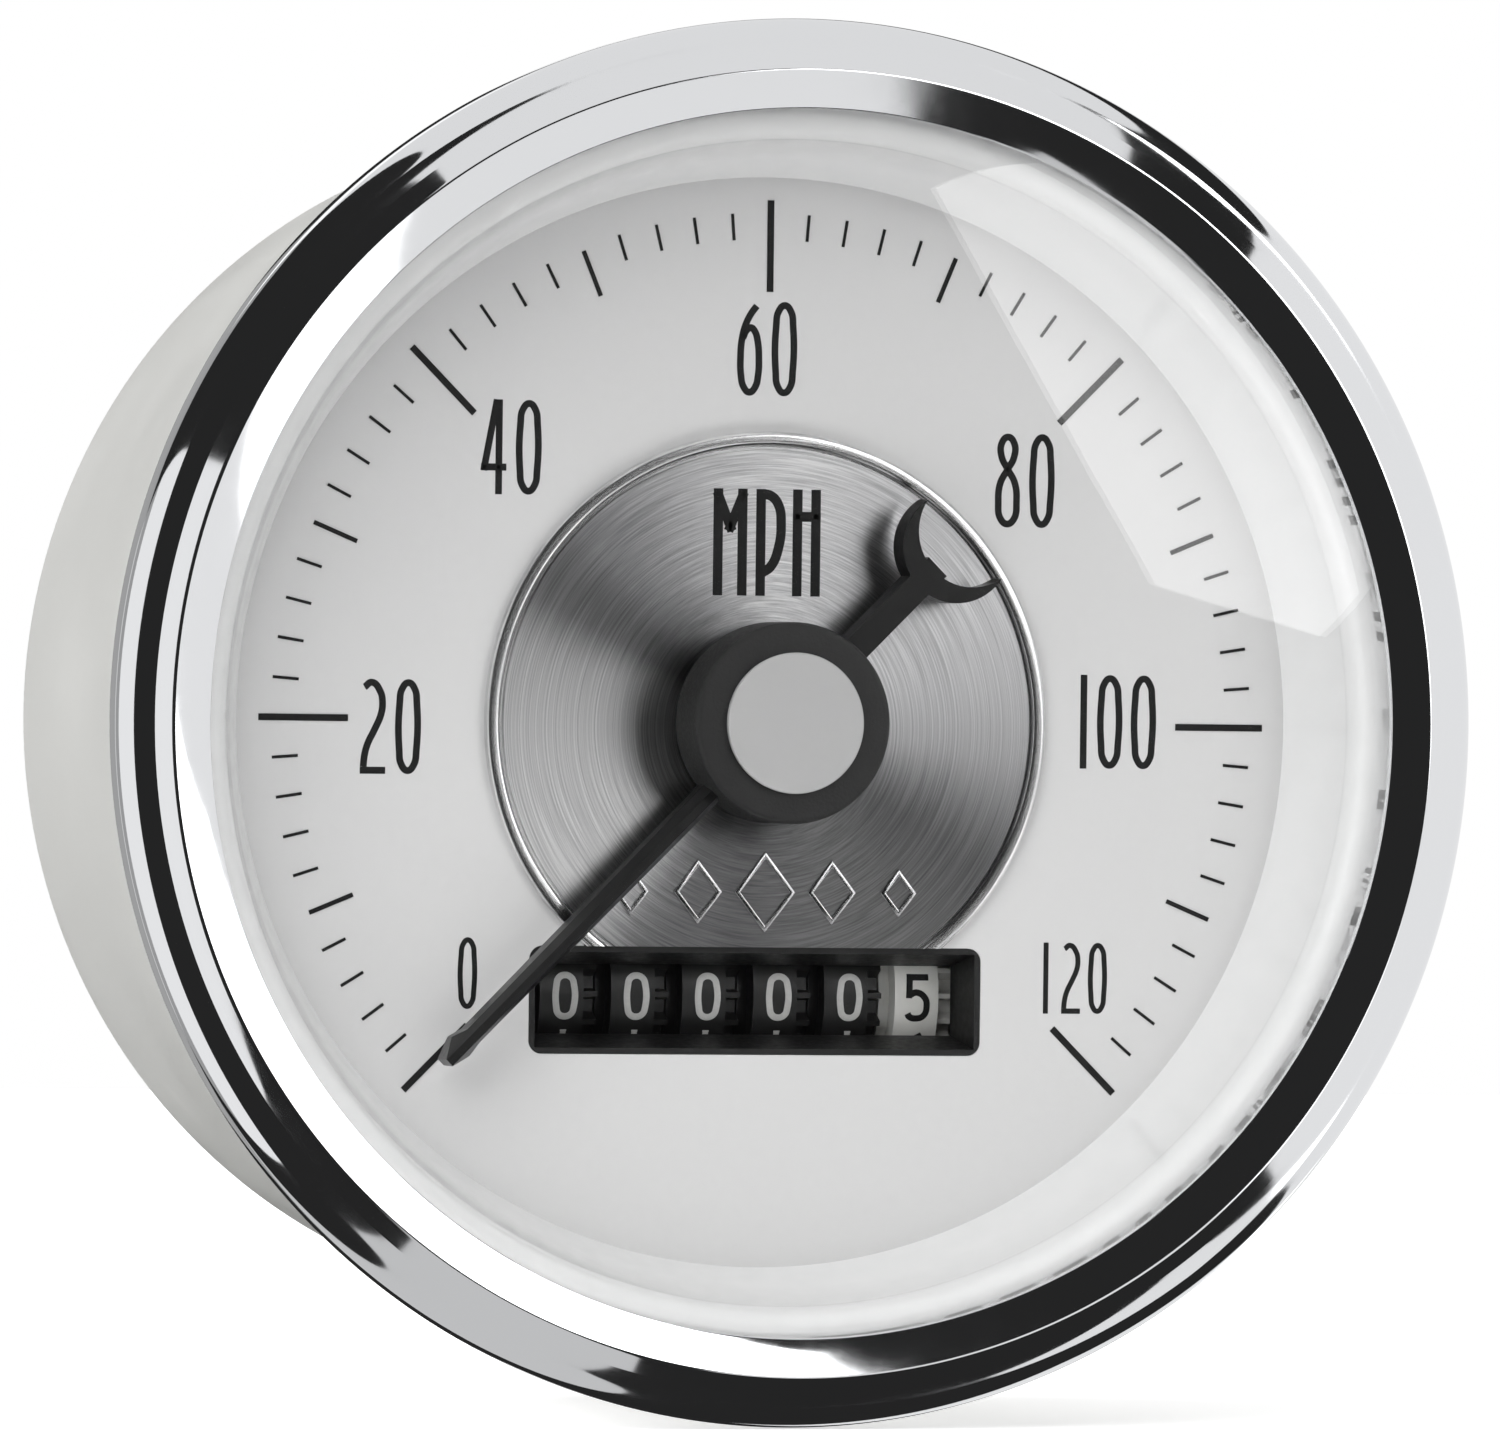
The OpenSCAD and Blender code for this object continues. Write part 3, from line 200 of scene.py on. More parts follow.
def thread(shape, radius, depth, pitch, low, high, steps, at=(0, 0)):
    """Cuts a screw's thread as one ridge that winds up the shank, between two heights."""
    turns = int((high - low) / pitch) - 1
    root = radius - depth
    crest = radius - 0.12 * depth
    outline = [(root, 0), (crest, 0.4), (crest, 0.6), (root, 1)]
    points = [shape.verts.new((at[0] + r, at[1], low + pitch * z)) for r, z in outline]
    edges = [shape.edges.new(pair) for pair in zip(points, points[1:])]
    bmesh.ops.spin(shape, geom=points + edges, cent=(at[0], at[1], 0), axis=(0, 0, 1),
                   dvec=(0, 0, pitch / steps), angle=math.tau * turns, steps=turns * steps, use_merge=False)


NOSE_END = -65.9625
NOSE_HEAD = -44
NOSE_TAIL_R = 8
NOSE_COLLAR_R = 11.11
NOSE_SHANK_R = 10.35
FERRULE_R = 5.5
BUSH_R = 4.52
# The nut's thread has 18 turns to the inch
NOSE_THREAD_R = 11.15
NOSE_THREAD_DEPTH = 0.85
NOSE_PITCH = 1.411
nose = spun([(NOSE_TAIL_R, CASE_BACK), (NOSE_COLLAR_R, CASE_BACK), (NOSE_COLLAR_R, CASE_BACK - 1.6),
             (NOSE_SHANK_R, CASE_BACK - 2.4), (NOSE_SHANK_R, NOSE_END + 0.5), (9.9, NOSE_END),
             (5.9, NOSE_END), (FERRULE_R, NOSE_END + 0.4), (FERRULE_R, NOSE_END + 8),
             (BUSH_R, NOSE_END + 8), (BUSH_R, NOSE_HEAD), (NOSE_TAIL_R, NOSE_HEAD)], steps=128)
thread(nose, NOSE_THREAD_R, NOSE_THREAD_DEPTH, NOSE_PITCH, NOSE_END + 0.5, CASE_BACK - 1.4, 64)
bmesh.ops.remove_doubles(nose, verts=nose.verts, dist=0.002)
bmesh.ops.recalc_face_normals(nose, faces=nose.faces)
piece("nose_threaded", nose, "housing", turned_zinc, "cable_nose")

# Mounting studs and their washers
# Two steel studs with a hexagon collar stand on the case's back. A bracket slips over them and pulls the
# bezel against the panel.


def dress(finish, *names):
    """Gives CAD nodes that stay as they are their finish."""
    for name in names:
        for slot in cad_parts[name].material_slots:
            slot.material = finish


# Zinc plating over turned steel: paler than the nose, with a soft sheen
plated_stud, tree, shader = surface("zinc_plated_steel_stud", "#BFC0BE", 0.34, Metallic=1.0)
mottle(tree, shader, 0.7, "#B2B3B1", "#CBCCCA", 0.28, 0.42, 0.003)
STUD_END = CASE_BACK - 14
STUD_HEAD = CASE_BACK + 4.6
STUD_CORE_R = 2.0
STUD_THREAD_R = 2.43
STUD_THREAD_DEPTH = 0.45
STUD_PITCH = 0.794
POINT = 0.4
COLLAR_R = 5.47
COLLAR_H = 3.2
COLLAR_LOW = CASE_BACK - 4
studs = bmesh.new()
for x, y in STUDS:
    at = Matrix.Translation((x, y, 0))
    for low, high, radius in ((STUD_END + POINT, COLLAR_LOW, STUD_CORE_R),
                              (COLLAR_LOW + COLLAR_H, STUD_HEAD, STUD_CORE_R + 0.01)):
        bmesh.ops.create_cone(studs, cap_ends=True, segments=32, radius1=radius, radius2=radius,
                              depth=high - low, matrix=at @ Matrix.Translation((0, 0, (low + high) / 2)))
    bmesh.ops.create_cone(studs, cap_ends=True, segments=32, radius1=STUD_CORE_R - POINT,
                          radius2=STUD_CORE_R, depth=POINT,
                          matrix=at @ Matrix.Translation((0, 0, STUD_END + POINT / 2)))
    collar_place = at @ Matrix.Translation((0, 0, COLLAR_LOW + COLLAR_H / 2))
    collar = bmesh.ops.create_cone(studs, cap_ends=True, segments=6, radius1=COLLAR_R, radius2=COLLAR_R,
                                   depth=COLLAR_H, matrix=collar_place)["verts"]
    collar_edges = list({e for v in collar for e in v.link_edges})
    bmesh.ops.bevel(studs, geom=collar_edges, offset=0.3, offset_type="OFFSET", segments=3, profile=0.5,
                    affect="EDGES", material=-1)
    thread(studs, STUD_THREAD_R, STUD_THREAD_DEPTH, STUD_PITCH, STUD_END + 0.3, COLLAR_LOW, 24, (x, y))
bmesh.ops.recalc_face_normals(studs, faces=studs.faces)
piece("studs_threaded", studs, "housing", plated_stud, "mounting_studs")
dress(plated_stud, "stud_washers")

# Lamp sockets and lamps
# Black moulded holders push into the two upper holes of the back and turn to lock. Each holds a small
# wedge lamp that lights the dial from behind its white ring.

# Moulded nylon: matt black, with the fine grain of its mould
black_nylon, tree, shader = surface("black_moulded_nylon", "#1C1C1D", 0.5)
mottle(tree, shader, 0.35, "#171718", "#242425", 0.42, 0.6, 0.012)
SOCKET_FLANGE_R = 6.5
SOCKET_FLANGE_H = 1.0
GRIP_R = 5.5
GRIP_H = 8.6
RIB_TURN = 5
PLUG_R = 4.5
PLUG_H = 7.0
TERMINAL_OUT = 1.6
sockets = bmesh.new()
for x, y in LAMPS:
    at = Matrix.Translation((x, y, 0))
    flange_place = at @ Matrix.Translation((0, 0, CASE_BACK - SOCKET_FLANGE_H / 2))
    flange = bmesh.ops.create_cone(sockets, cap_ends=True, segments=64, radius1=SOCKET_FLANGE_R,
                                   radius2=SOCKET_FLANGE_R, depth=SOCKET_FLANGE_H,
                                   matrix=flange_place)["verts"]
    flange_edges = [e for e in {e for v in flange for e in v.link_edges} if e.calc_face_angle() > 0.8]
    bmesh.ops.bevel(sockets, geom=flange_edges, offset=0.2, offset_type="OFFSET", segments=2, profile=0.5,
                    affect="EDGES", material=-1)
    # The grip has fine upright ribs, as a moulded knob has, and a rounded end
    grip_place = at @ Matrix.Translation((0, 0, CASE_BACK - SOCKET_FLANGE_H - GRIP_H / 2))
    grip = bmesh.ops.create_cone(sockets, cap_ends=True, segments=72, radius1=GRIP_R, radius2=GRIP_R,
                                 depth=GRIP_H, matrix=grip_place)["verts"]
    middle = Vector((x, y, 0))
    for vert in grip:
        out = (vert.co - middle).to_2d()
        if round(math.degrees(out.angle_signed(Vector((1, 0)))) / RIB_TURN) % 3 == 0:
            vert.co.xy = middle.to_2d() + out * 0.93
    ends = [e for e in {e for v in grip for e in v.link_edges}
            if all(v.co.z < CASE_BACK - GRIP_H - 0.9 for v in e.verts) and len(e.link_faces) == 2]
    bmesh.ops.bevel(sockets, geom=ends, offset=0.45, offset_type="OFFSET", segments=3, profile=0.5,
                    affect="EDGES", material=-1)
    # Two round terminals for the lamp's wires stand in the end of the grip
    for shift in (-TERMINAL_OUT, TERMINAL_OUT):
        bmesh.ops.create_cone(sockets, cap_ends=True, segments=24, radius1=0.9, radius2=1.1, depth=0.5,
                              matrix=at @ Matrix.Translation((shift, 0, CASE_BACK - 9.3)))
    bmesh.ops.create_cone(sockets, cap_ends=True, segments=48, radius1=PLUG_R, radius2=PLUG_R, depth=PLUG_H,
                          matrix=at @ Matrix.Translation((0, 0, CASE_BACK + PLUG_H / 2 - 1)))
bmesh.ops.recalc_face_normals(sockets, faces=sockets.faces)
piece("lamp_holders", sockets, "housing", black_nylon, "lamp_sockets")

# Thin blown glass: clear, and faintly yellow from the lamp's heat
lamp_glass, tree, shader = surface("clear_lamp_glass", "#F4F1E6", 0.05, Transmission_Weight=0.9, IOR=1.5)
mottle(tree, shader, 1.5, "#EFEBDD", "#F8F6EE", 0.03, 0.12, 0.002)
dress(lamp_glass, "lamp_bulbs")

# Movement frame and its plates
# One zinc casting carries the whole movement on four pillars. Stamped steel plates, machine screws and
# turned steel shafts are fixed to it.

# Zinc as it leaves the die: grey and matt, with a pebbled skin
cast_zinc, tree, shader = surface("die_cast_zinc", "#8F9091", 0.5, Metallic=1.0)
mottle(tree, shader, 0.5, "#858687", "#9C9D9E", 0.42, 0.6, 0.02)
dress(cast_zinc, "movement_frame")

# Nickel over stamped steel: a warm and fairly bright shine
stamped_steel, tree, shader = surface("nickel_plated_stamped_steel", "#B9B7B0", 0.3, Metallic=1.0)
mottle(tree, shader, 1.2, "#ADABA4", "#C6C4BD", 0.24, 0.38, 0.004)
dress(stamped_steel, "bridge_plate", "field_cup", "side_plate_left", "side_plate_right")

# Bare machined steel: a cool grey, bright and smooth
machined_steel, tree, shader = surface("machined_steel", "#A7A8AA", 0.26, Metallic=1.0)
mottle(tree, shader, 0.4, "#9A9B9D", "#B5B6B8", 0.2, 0.36, 0.003)
dress(machined_steel, "bridge_screws", "dial_screws", "stop_pin", "spindle", "input_shaft", "cross_shaft",
      "countershaft", "odometer_axle", "idler_stub", "carry_shaft", "side_plate_screws")

# Speed movement
# The cable turns a sintered magnet inside a steel cup. It drags a thin aluminium cup round against a
# blued hairspring, and the pointer's spindle turns with that cup.

# Spun aluminium: pale and silvery
spun_aluminium, tree, shader = surface("spun_aluminium", "#C9CACC", 0.28, Metallic=1.0)
mottle(tree, shader, 0.8, "#BDBEC0", "#D4D5D7", 0.22, 0.36, 0.003)
dress(spun_aluminium, "speed_cup")

# Turned brass: yellow and bright
turned_brass, tree, shader = surface("turned_brass", "#C8A655", 0.26, Metallic=1.0)
mottle(tree, shader, 0.6, "#B89548", "#D6B667", 0.2, 0.36, 0.003)
dress(turned_brass, "spring_collet", "spring_stud", "spindle_bush", "input_worm", "cross_worm",
      "drive_pinion")

# Spring steel, blued by heat: dark blue with a sharp shine
blued_steel, tree, shader = surface("blued_spring_steel", "#3E4F73", 0.22, Metallic=1.0)
mottle(tree, shader, 0.6, "#34456A", "#4A5C82", 0.18, 0.3, 0.001)
dress(blued_steel, "hairspring")

# Sintered bronze soaked in oil: brown and dull, with fine pores
oily_bronze, tree, shader = surface("sintered_bronze", "#A37A4C", 0.42, Metallic=1.0)
mottle(tree, shader, 0.25, "#8E6840", "#B5895A", 0.34, 0.55, 0.01)
dress(oily_bronze, "input_bush")

# A sintered magnet: dark grey, with hardly any shine
dark_magnet, tree, shader = surface("sintered_magnet", "#4A4A4D", 0.55, Metallic=0.6)
mottle(tree, shader, 0.3, "#3E3E41", "#58585B", 0.48, 0.66, 0.012)
dress(dark_magnet, "magnet")

# Odometer gears
# The wheels and pinions between the cable and the drums are moulded in nylon. They mesh with brass worms
# and need no oil.

# Natural nylon: a milky off-white that lets a little light in, with a soft sheen
natural_nylon, tree, shader = surface("natural_moulded_nylon", "#E6E2D3", 0.42, Subsurface_Weight=0.1)
shader.inputs["Subsurface Radius"].default_value = (0.001, 0.0008, 0.0006)
shader.inputs["Subsurface Scale"].default_value = 1.0
mottle(tree, shader, 1.0, "#DDD9C9", "#EDE9DC", 0.36, 0.48, 0.004)
dress(natural_nylon, "cross_wheel", "counter_wheel", "idler_gear", "carry_pinion_1", "carry_pinion_2",
      "carry_pinion_3", "carry_pinion_4", "carry_pinion_5")

# Odometer drums
# Six moulded drums turn on one axle. Five are black with light figures, and the tenths drum at the right
# is off-white with black ones. The figures are hot-stamped round each drum, ten to a turn.

# Moulded acetal: smooth and a little waxy, in black or in off-white
drum_black, tree, shader = surface("black_moulded_acetal", "#161616", 0.34)
mottle(tree, shader, 0.5, "#111111", "#1E1E1E", 0.28, 0.42, 0.006)
drum_white, tree, shader = surface("white_moulded_acetal", "#D6D6D2", 0.42)
mottle(tree, shader, 0.8, "#CECEC9", "#DEDEDA", 0.36, 0.5, 0.006)
DRUMS = ["ten_thousands", "thousands", "hundreds", "tens", "units", "tenths"]
dress(drum_black, *["drum_" + name for name in DRUMS[:5]])
dress(drum_white, "drum_tenths")

# A figure's strokes run through points of a box that is 1 wide and 1 high. A line is straight, a curve
# runs smoothly through its points, and a loop is closed.
FIGURES = {
    "0": [("loop", [(0.5, 1), (0.84, 0.93), (0.96, 0.77), (0.96, 0.23), (0.84, 0.07), (0.5, 0), (0.16, 0.07),
                    (0.04, 0.23), (0.04, 0.77), (0.16, 0.93)])],
    "1": [("line", [(0.5, 0), (0.5, 1)])],
    "2": [("curve", [(0.03, 0.945), (0.42, 1), (0.87, 0.9), (1, 0.77), (0.93, 0.64), (0.58, 0.46),
                     (0.24, 0.31), (0.07, 0.18), (0, 0.04)]),
          ("line", [(0, 0), (1, 0)])],
    "3": [("curve", [(0.03, 0.93), (0.4, 1), (0.85, 0.92), (0.95, 0.77), (0.8, 0.61), (0.42, 0.55)]),
          ("curve", [(0.42, 0.55), (0.85, 0.47), (1, 0.26), (0.85, 0.06), (0.45, 0), (0.02, 0.08)])],
    "4": [("line", [(0.62, 1), (0, 0.27)]), ("line", [(0, 0.27), (1, 0.27)]),
          ("line", [(0.78, 0), (0.78, 1)])],
    "5": [("line", [(0.1, 1), (0.92, 1)]), ("line", [(0.1, 1), (0.06, 0.57)]),
          ("curve", [(0.06, 0.56), (0.45, 0.63), (0.9, 0.5), (1, 0.3), (0.86, 0.07), (0.5, 0), (0.08, 0.05),
                     (0, 0.12)])],
    "6": [("curve", [(0.86, 0.99), (0.55, 0.9), (0.24, 0.76), (0.05, 0.58), (0, 0.4), (0.03, 0.2),
                     (0.2, 0.055), (0.5, 0), (0.8, 0.055), (0.97, 0.2), (1, 0.4), (0.93, 0.58),
                     (0.76, 0.7), (0.55, 0.74), (0.32, 0.71), (0.12, 0.62)])],
    "7": [("line", [(0, 1), (1, 1)]), ("line", [(1, 1), (0.3, 0)])],
    "8": [("loop", [(0.5, 1), (0.84, 0.93), (0.84, 0.77), (0.5, 0.63), (0.1, 0.47), (0, 0.25), (0.13, 0.06),
                    (0.5, 0), (0.87, 0.06), (1, 0.25), (0.9, 0.47), (0.5, 0.63), (0.16, 0.77),
                    (0.16, 0.93)])],
    "M": [("line", [(0, 0), (0, 1)]), ("line", [(1, 0), (1, 1)]), ("line", [(0.02, 0.97), (0.5, 0.66)]),
          ("line", [(0.98, 0.97), (0.5, 0.66)])],
    "P": [("line", [(0, 0), (0, 1)]),
          ("curve", [(0, 1), (0.5, 0.98), (0.88, 0.88), (1, 0.7), (0.9, 0.46), (0.5, 0.25), (0.1, 0.19)])],
    "H": [("line", [(0, 0), (0, 1)]), ("line", [(1, 0), (1, 1)]), ("line", [(0, 0.77), (1, 0.77)])],
}
FIGURES["9"] = [(kind, [(1 - u, 1 - v) for u, v in points]) for kind, points in FIGURES["6"]]
# Ink and foil stand this far off the surface that they are printed on
INK = 0.03


def printed(figures, pen):
    """A print of (figure, left, bottom, width, height) in mm, drawn by a pen of that width on z = 0."""
    strokes = bpy.data.curves.new("strokes", "CURVE")
    strokes.dimensions = "3D"
    strokes.bevel_depth = pen / 2
    strokes.bevel_resolution = 1
    strokes.resolution_u = 6
    strokes.use_fill_caps = True
    for figure, left, bottom, width, height in figures:
        corner = Vector((left + pen / 2, bottom + pen / 2, 0))
        for kind, points in FIGURES[figure]:
            knots = [corner + Vector((u * (width - pen), v * (height - pen), 0)) for u, v in points]
            if kind == "line":
                reach = (knots[1] - knots[0]).normalized() * pen / 2
                knots = [(knots[0] - reach).lerp(knots[1] + reach, i / 5) for i in range(6)]
                stroke = strokes.splines.new("POLY")
                stroke.points.add(len(knots) - 1)
                for point, knot in zip(stroke.points, knots):
                    point.co = (*knot, 1)
                continue
            stroke = strokes.splines.new("BEZIER")
            stroke.bezier_points.add(len(knots) - 1)
            stroke.use_cyclic_u = kind == "loop"
            for point, knot in zip(stroke.bezier_points, knots):
                point.co = knot
                point.handle_left_type = point.handle_right_type = "AUTO"
    holder = bpy.data.objects.new("strokes", strokes)
    bpy.context.scene.collection.objects.link(holder)
    bpy.context.view_layer.update()
    mesh = bpy.data.meshes.new_from_object(holder)
    bpy.data.objects.remove(holder)
    shape = bmesh.new()
    shape.from_mesh(mesh)
    bmesh.ops.scale(shape, vec=(1, 1, 2 * INK / pen), verts=shape.verts)
    return shape


# Hot-stamped foil lies flat, light grey and without shine, and screen ink is matt and just off black
stamped_foil, tree, shader = surface("light_grey_stamping_foil", "#C6C6C4", 0.5)
mottle(tree, shader, 0.3, "#B9B9B7", "#D1D1CF", 0.44, 0.56, 0.002)
black_ink, tree, shader = surface("black_screen_ink", "#161616", 0.6, Specular_IOR_Level=0.3)
mottle(tree, shader, 0.4, "#121212", "#1B1B1B", 0.54, 0.66, 0.002)

DRUM_R = 6.2
DRUM_Y = -18.1
DRUM_Z = -16.9
DRUM_PITCH = 4.9
FIGURE_W = 1.74
FIGURE_H = 3.2
FIGURE_PEN = 0.44
FIGURE_DROP = 0.12
STEP = math.tau * DRUM_R / 10
for index, name in enumerate(DRUMS):
    shown = 5 if name == "tenths" else 0
    middle = (index - 2.5) * DRUM_PITCH - (0.25 if name == "tenths" else 0.05)
    left = middle - FIGURE_W / 2
    bottom = -FIGURE_DROP - FIGURE_H / 2
    # Each next figure stands below the last, because the drums' fronts roll upwards as the miles add up
    figures = [(str((shown + k) % 10), left, bottom - k * STEP, FIGURE_W, FIGURE_H) for k in range(-4, 6)]
    shape = printed(figures, FIGURE_PEN)
    for vert in shape.verts:
        x, around, out = vert.co
        turn = around / DRUM_R
        radius = DRUM_R + out
        vert.co = (x, DRUM_Y + radius * math.sin(turn), DRUM_Z + radius * math.cos(turn))
    ink = black_ink if name == "tenths" else stamped_foil
    piece("figures_" + name, shape, "drum_%s_body" % name, ink)

# Odometer window
# A black moulded frame behind the dial, whose sides slope in towards the drums. Its front face fills the
# opening in the dial.

# Moulded ABS: satin black, grained a little by its mould
satin_black, tree, shader = surface("black_moulded_abs", "#151515", 0.48)
mottle(tree, shader, 0.45, "#111111", "#1C1C1C", 0.4, 0.56, 0.01)
dress(satin_black, "odometer_shroud")

# Dial
# A thin steel plate, sprayed satin white, with the scale and its figures screen-printed in black. The
# spray leaves a very fine orange peel.

# Satin lacquer: an even light grey-white, with a thin sheen over it
dial_white, tree, shader = surface("satin_white_lacquer", "#D2D2D2", 0.46, Coat_Weight=0.12)
shader.inputs["Coat Roughness"].default_value = 0.3
mottle(tree, shader, 0.6, "#CFCFCF", "#D5D5D5", 0.42, 0.5, 0.0015)
dress(dial_white, "dial_plate")
dress(black_ink, "dial_marks")
DIAL_Z = -6.6
# Each numeral: its text, its left edge and bottom, its size against the large ones, and its gaps in mm
SMALL = 0.757
NUMERALS = [("0", -20.77, -19.05, SMALL, ()),
            ("20", -27.6, -3.66, 1, (0.65,)),
            ("40", -19.62, 14.8, 1, (0.65,)),
            ("60", -2.2, 21.56, 1, (0.65,)),
            ("80", 15.71, 13.12, 1, (0.65,)),
            ("100", 21.82, -2.82, 1, (0.72, 0.62)),
            ("120", 19.47, -19.12, SMALL, (1.2, 0.72))]
NUMERAL_W = 1.73
NUMERAL_H = 6.24
NUMERAL_PEN = 0.47
numerals = []
for text, left, bottom, share, gaps in NUMERALS:
    for figure, gap in zip(text, gaps + (0,)):
        width = share * (NUMERAL_PEN if figure == "1" else NUMERAL_W)
        numerals.append((share, (figure, left, bottom, width, share * NUMERAL_H)))
        left += width + share * gap
for share, name in ((1, "numerals_large"), (SMALL, "numerals_small")):
    alike = [figure for its_share, figure in numerals if its_share == share]
    shape = printed(alike, share * NUMERAL_PEN)
    bmesh.ops.translate(shape, verts=shape.verts, vec=(0, 0, DIAL_Z))
    piece(name, shape, "housing", black_ink)

# Centre disc
# An aluminium disc, brushed in circles on a turntable and lacquered, with a turned rim. It is cut straight
# above the window, and the unit of the scale is printed on it in black.

# Circular brushing: fine rings, and a shine in fan shapes round the middle, partly from the anisotropic
# reflection and partly painted highlight and painted shade in the colour
brushed_aluminium, tree, shader = surface("circular_brushed_aluminium", "#B9B9BA", 0.3, Metallic=1.0,
                                          Anisotropic=0.6)
place = add(tree, "ShaderNodeTexCoord")
flat = add(tree, "ShaderNodeVectorMath", {0: place.outputs["Object"]}, {1: (1.0, 0.0, 1.0)},
           operation="MULTIPLY")
radius = add(tree, "ShaderNodeVectorMath", {0: flat.outputs["Vector"]}, operation="LENGTH")
outward = add(tree, "ShaderNodeVectorMath", {0: flat.outputs["Vector"]}, operation="NORMALIZE")
# Real brush lines are under 0.05 mm apart, too fine to show, so they are drawn about three times as coarse.
# Each runs some way round the disc before it fades.
turns = add(tree, "ShaderNodeVectorMath", {0: outward.outputs["Vector"]}, {"Scale": 3.0}, operation="SCALE")
apart = add(tree, "ShaderNodeMath", {0: radius.outputs["Value"]}, {1: 8000.0}, operation="MULTIPLY")
ring_place = add(tree, "ShaderNodeCombineXYZ", {"Z": apart.outputs["Value"]})
streaked = add(tree, "ShaderNodeVectorMath", {0: turns.outputs["Vector"], 1: ring_place.outputs["Vector"]},
               operation="ADD")
streaks = add(tree, "ShaderNodeTexNoise", {"Vector": streaked.outputs["Vector"]},
              {"Scale": 1.0, "Detail": 3.0, "Roughness": 0.7})
spread = add(tree, "ShaderNodeMapRange", {"Value": streaks.outputs["Fac"]},
             {"From Min": 0.35, "From Max": 0.65})
tint = add(tree, "ShaderNodeMix", {0: spread.outputs["Result"]},
           {6: linear("#C6C6C7"), 7: linear("#FFFFFF")}, data_type="RGBA")
gloss = add(tree, "ShaderNodeMapRange", {"Value": streaks.outputs["Fac"]},
            {"From Min": 0.3, "From Max": 0.7, "To Min": 0.285, "To Max": 0.35})
lines = add(tree, "ShaderNodeBump", {"Height": streaks.outputs["Fac"]},
            {"Strength": 0.35, "Distance": 0.00002})
# The fan-shaped shine of round brushing is also painted into the colour. The brightest painted highlight
# lies at the left and a little below, a weaker one faces it, and painted shade lies at the upper left and
# the lower right.
PAINTED_HIGHLIGHT_WAY = (-0.966, 0.0, -0.259)
PAINTED_SHADE_WAY = (0.423, 0.0, -0.906)
toward = add(tree, "ShaderNodeVectorMath", {0: outward.outputs["Vector"]}, {1: PAINTED_HIGHLIGHT_WAY},
             operation="DOT_PRODUCT")
turned = add(tree, "ShaderNodeMapRange", {"Value": toward.outputs["Value"]},
             {"From Min": -1.0, "From Max": 1.0})
painted_fan_ramp = add(tree, "ShaderNodeValToRGB", {"Fac": turned.outputs["Result"]})
painted_fan_ramp.color_ramp.interpolation = "B_SPLINE"
painted_fan_ramp.color_ramp.elements[0].color = linear("#EEEEEF")
for at, tone in ((0.06, "#DADADB"), (0.2, "#E2E2E3"), (0.33, "#FFFFFF"), (0.55, "#F8F8F9"),
                 (0.76, "#AAAAAB"), (0.87, "#747475"), (0.93, "#FFFFFF")):
    painted_fan_ramp.color_ramp.elements.new(at).color = linear(tone)
# Painted shade: the colour darkens towards the lower right of the disc, down to a third of its tone
below = add(tree, "ShaderNodeVectorMath", {0: outward.outputs["Vector"]}, {1: PAINTED_SHADE_WAY},
            operation="DOT_PRODUCT")
painted_low_shade = add(tree, "ShaderNodeMapRange", {"Value": below.outputs["Value"]},
              {"From Min": 0.5, "From Max": 0.88, "To Min": 1.0, "To Max": 0.34},
              interpolation_type="SMOOTHSTEP")
painted_light_tone = add(tree, "ShaderNodeMix", {6: painted_fan_ramp.outputs["Color"], 7: painted_low_shade.outputs["Result"]}, {0: 1.0},
               data_type="RGBA", blend_type="MULTIPLY")
# The turned rim isn't brushed: it is smoother than the face, and the painted highlights and painted shade
# are left off it, so it shines as a thin bright line all round
brushed = add(tree, "ShaderNodeMapRange", {"Value": radius.outputs["Value"]},
              {"From Min": 0.0181, "From Max": 0.0183, "To Min": 1.0, "To Max": 0.0})
# The painted highlights and painted shade darken or keep the brush streaks' tone on the brushed face only
brushed_tone_and_painted_light = add(tree, "ShaderNodeMix",
            {0: brushed.outputs["Result"], 6: tint.outputs[2], 7: painted_light_tone.outputs[2]},
            data_type="RGBA", blend_type="MULTIPLY")
smooth = add(tree, "ShaderNodeMapRange",
             {"Value": brushed.outputs["Result"], "To Max": gloss.outputs["Result"]}, {"To Min": 0.2})
tree.links.new(brushed_tone_and_painted_light.outputs[2], shader.inputs["Base Color"])
tree.links.new(smooth.outputs["Result"], shader.inputs["Roughness"])
tree.links.new(lines.outputs["Normal"], shader.inputs["Normal"])
tree.links.new(outward.outputs["Vector"], shader.inputs["Tangent"])

DISC_R = 19.2
DISC_Z = -6.1
DISC_HOLE_R = 1.2
DISC_CUT = -14.85
disc = spun([(DISC_HOLE_R, DIAL_Z), (DISC_R, DIAL_Z), (DISC_R, DISC_Z + 0.15)]
            + arc(DISC_R - 0.3, DISC_Z + 0.1, 0.3, 0.2, 20, 90, 4)
            + arc(DISC_R - 0.62, DISC_Z + 0.1, 0.28, 0.2, 90, 170, 4)
            + [(DISC_R - 0.9, DISC_Z - 0.15), (DISC_R - 1.15, DISC_Z - 0.15), (DISC_R - 1.2, DISC_Z),
               (12, DISC_Z), (6, DISC_Z), (DISC_HOLE_R, DISC_Z)])
whole = disc.verts[:] + disc.edges[:] + disc.faces[:]
cut = bmesh.ops.bisect_plane(disc, geom=whole, dist=0.0001, plane_co=(0, DISC_CUT, 0),
                             plane_no=(0, -1, 0), clear_outer=True)
cut_edges = [e for e in cut["geom_cut"] if isinstance(e, bmesh.types.BMEdge)]
bmesh.ops.holes_fill(disc, edges=cut_edges, sides=0)
bmesh.ops.recalc_face_normals(disc, faces=disc.faces)
piece("disc_brushed", disc, "housing", brushed_aluminium, "centre_disc")

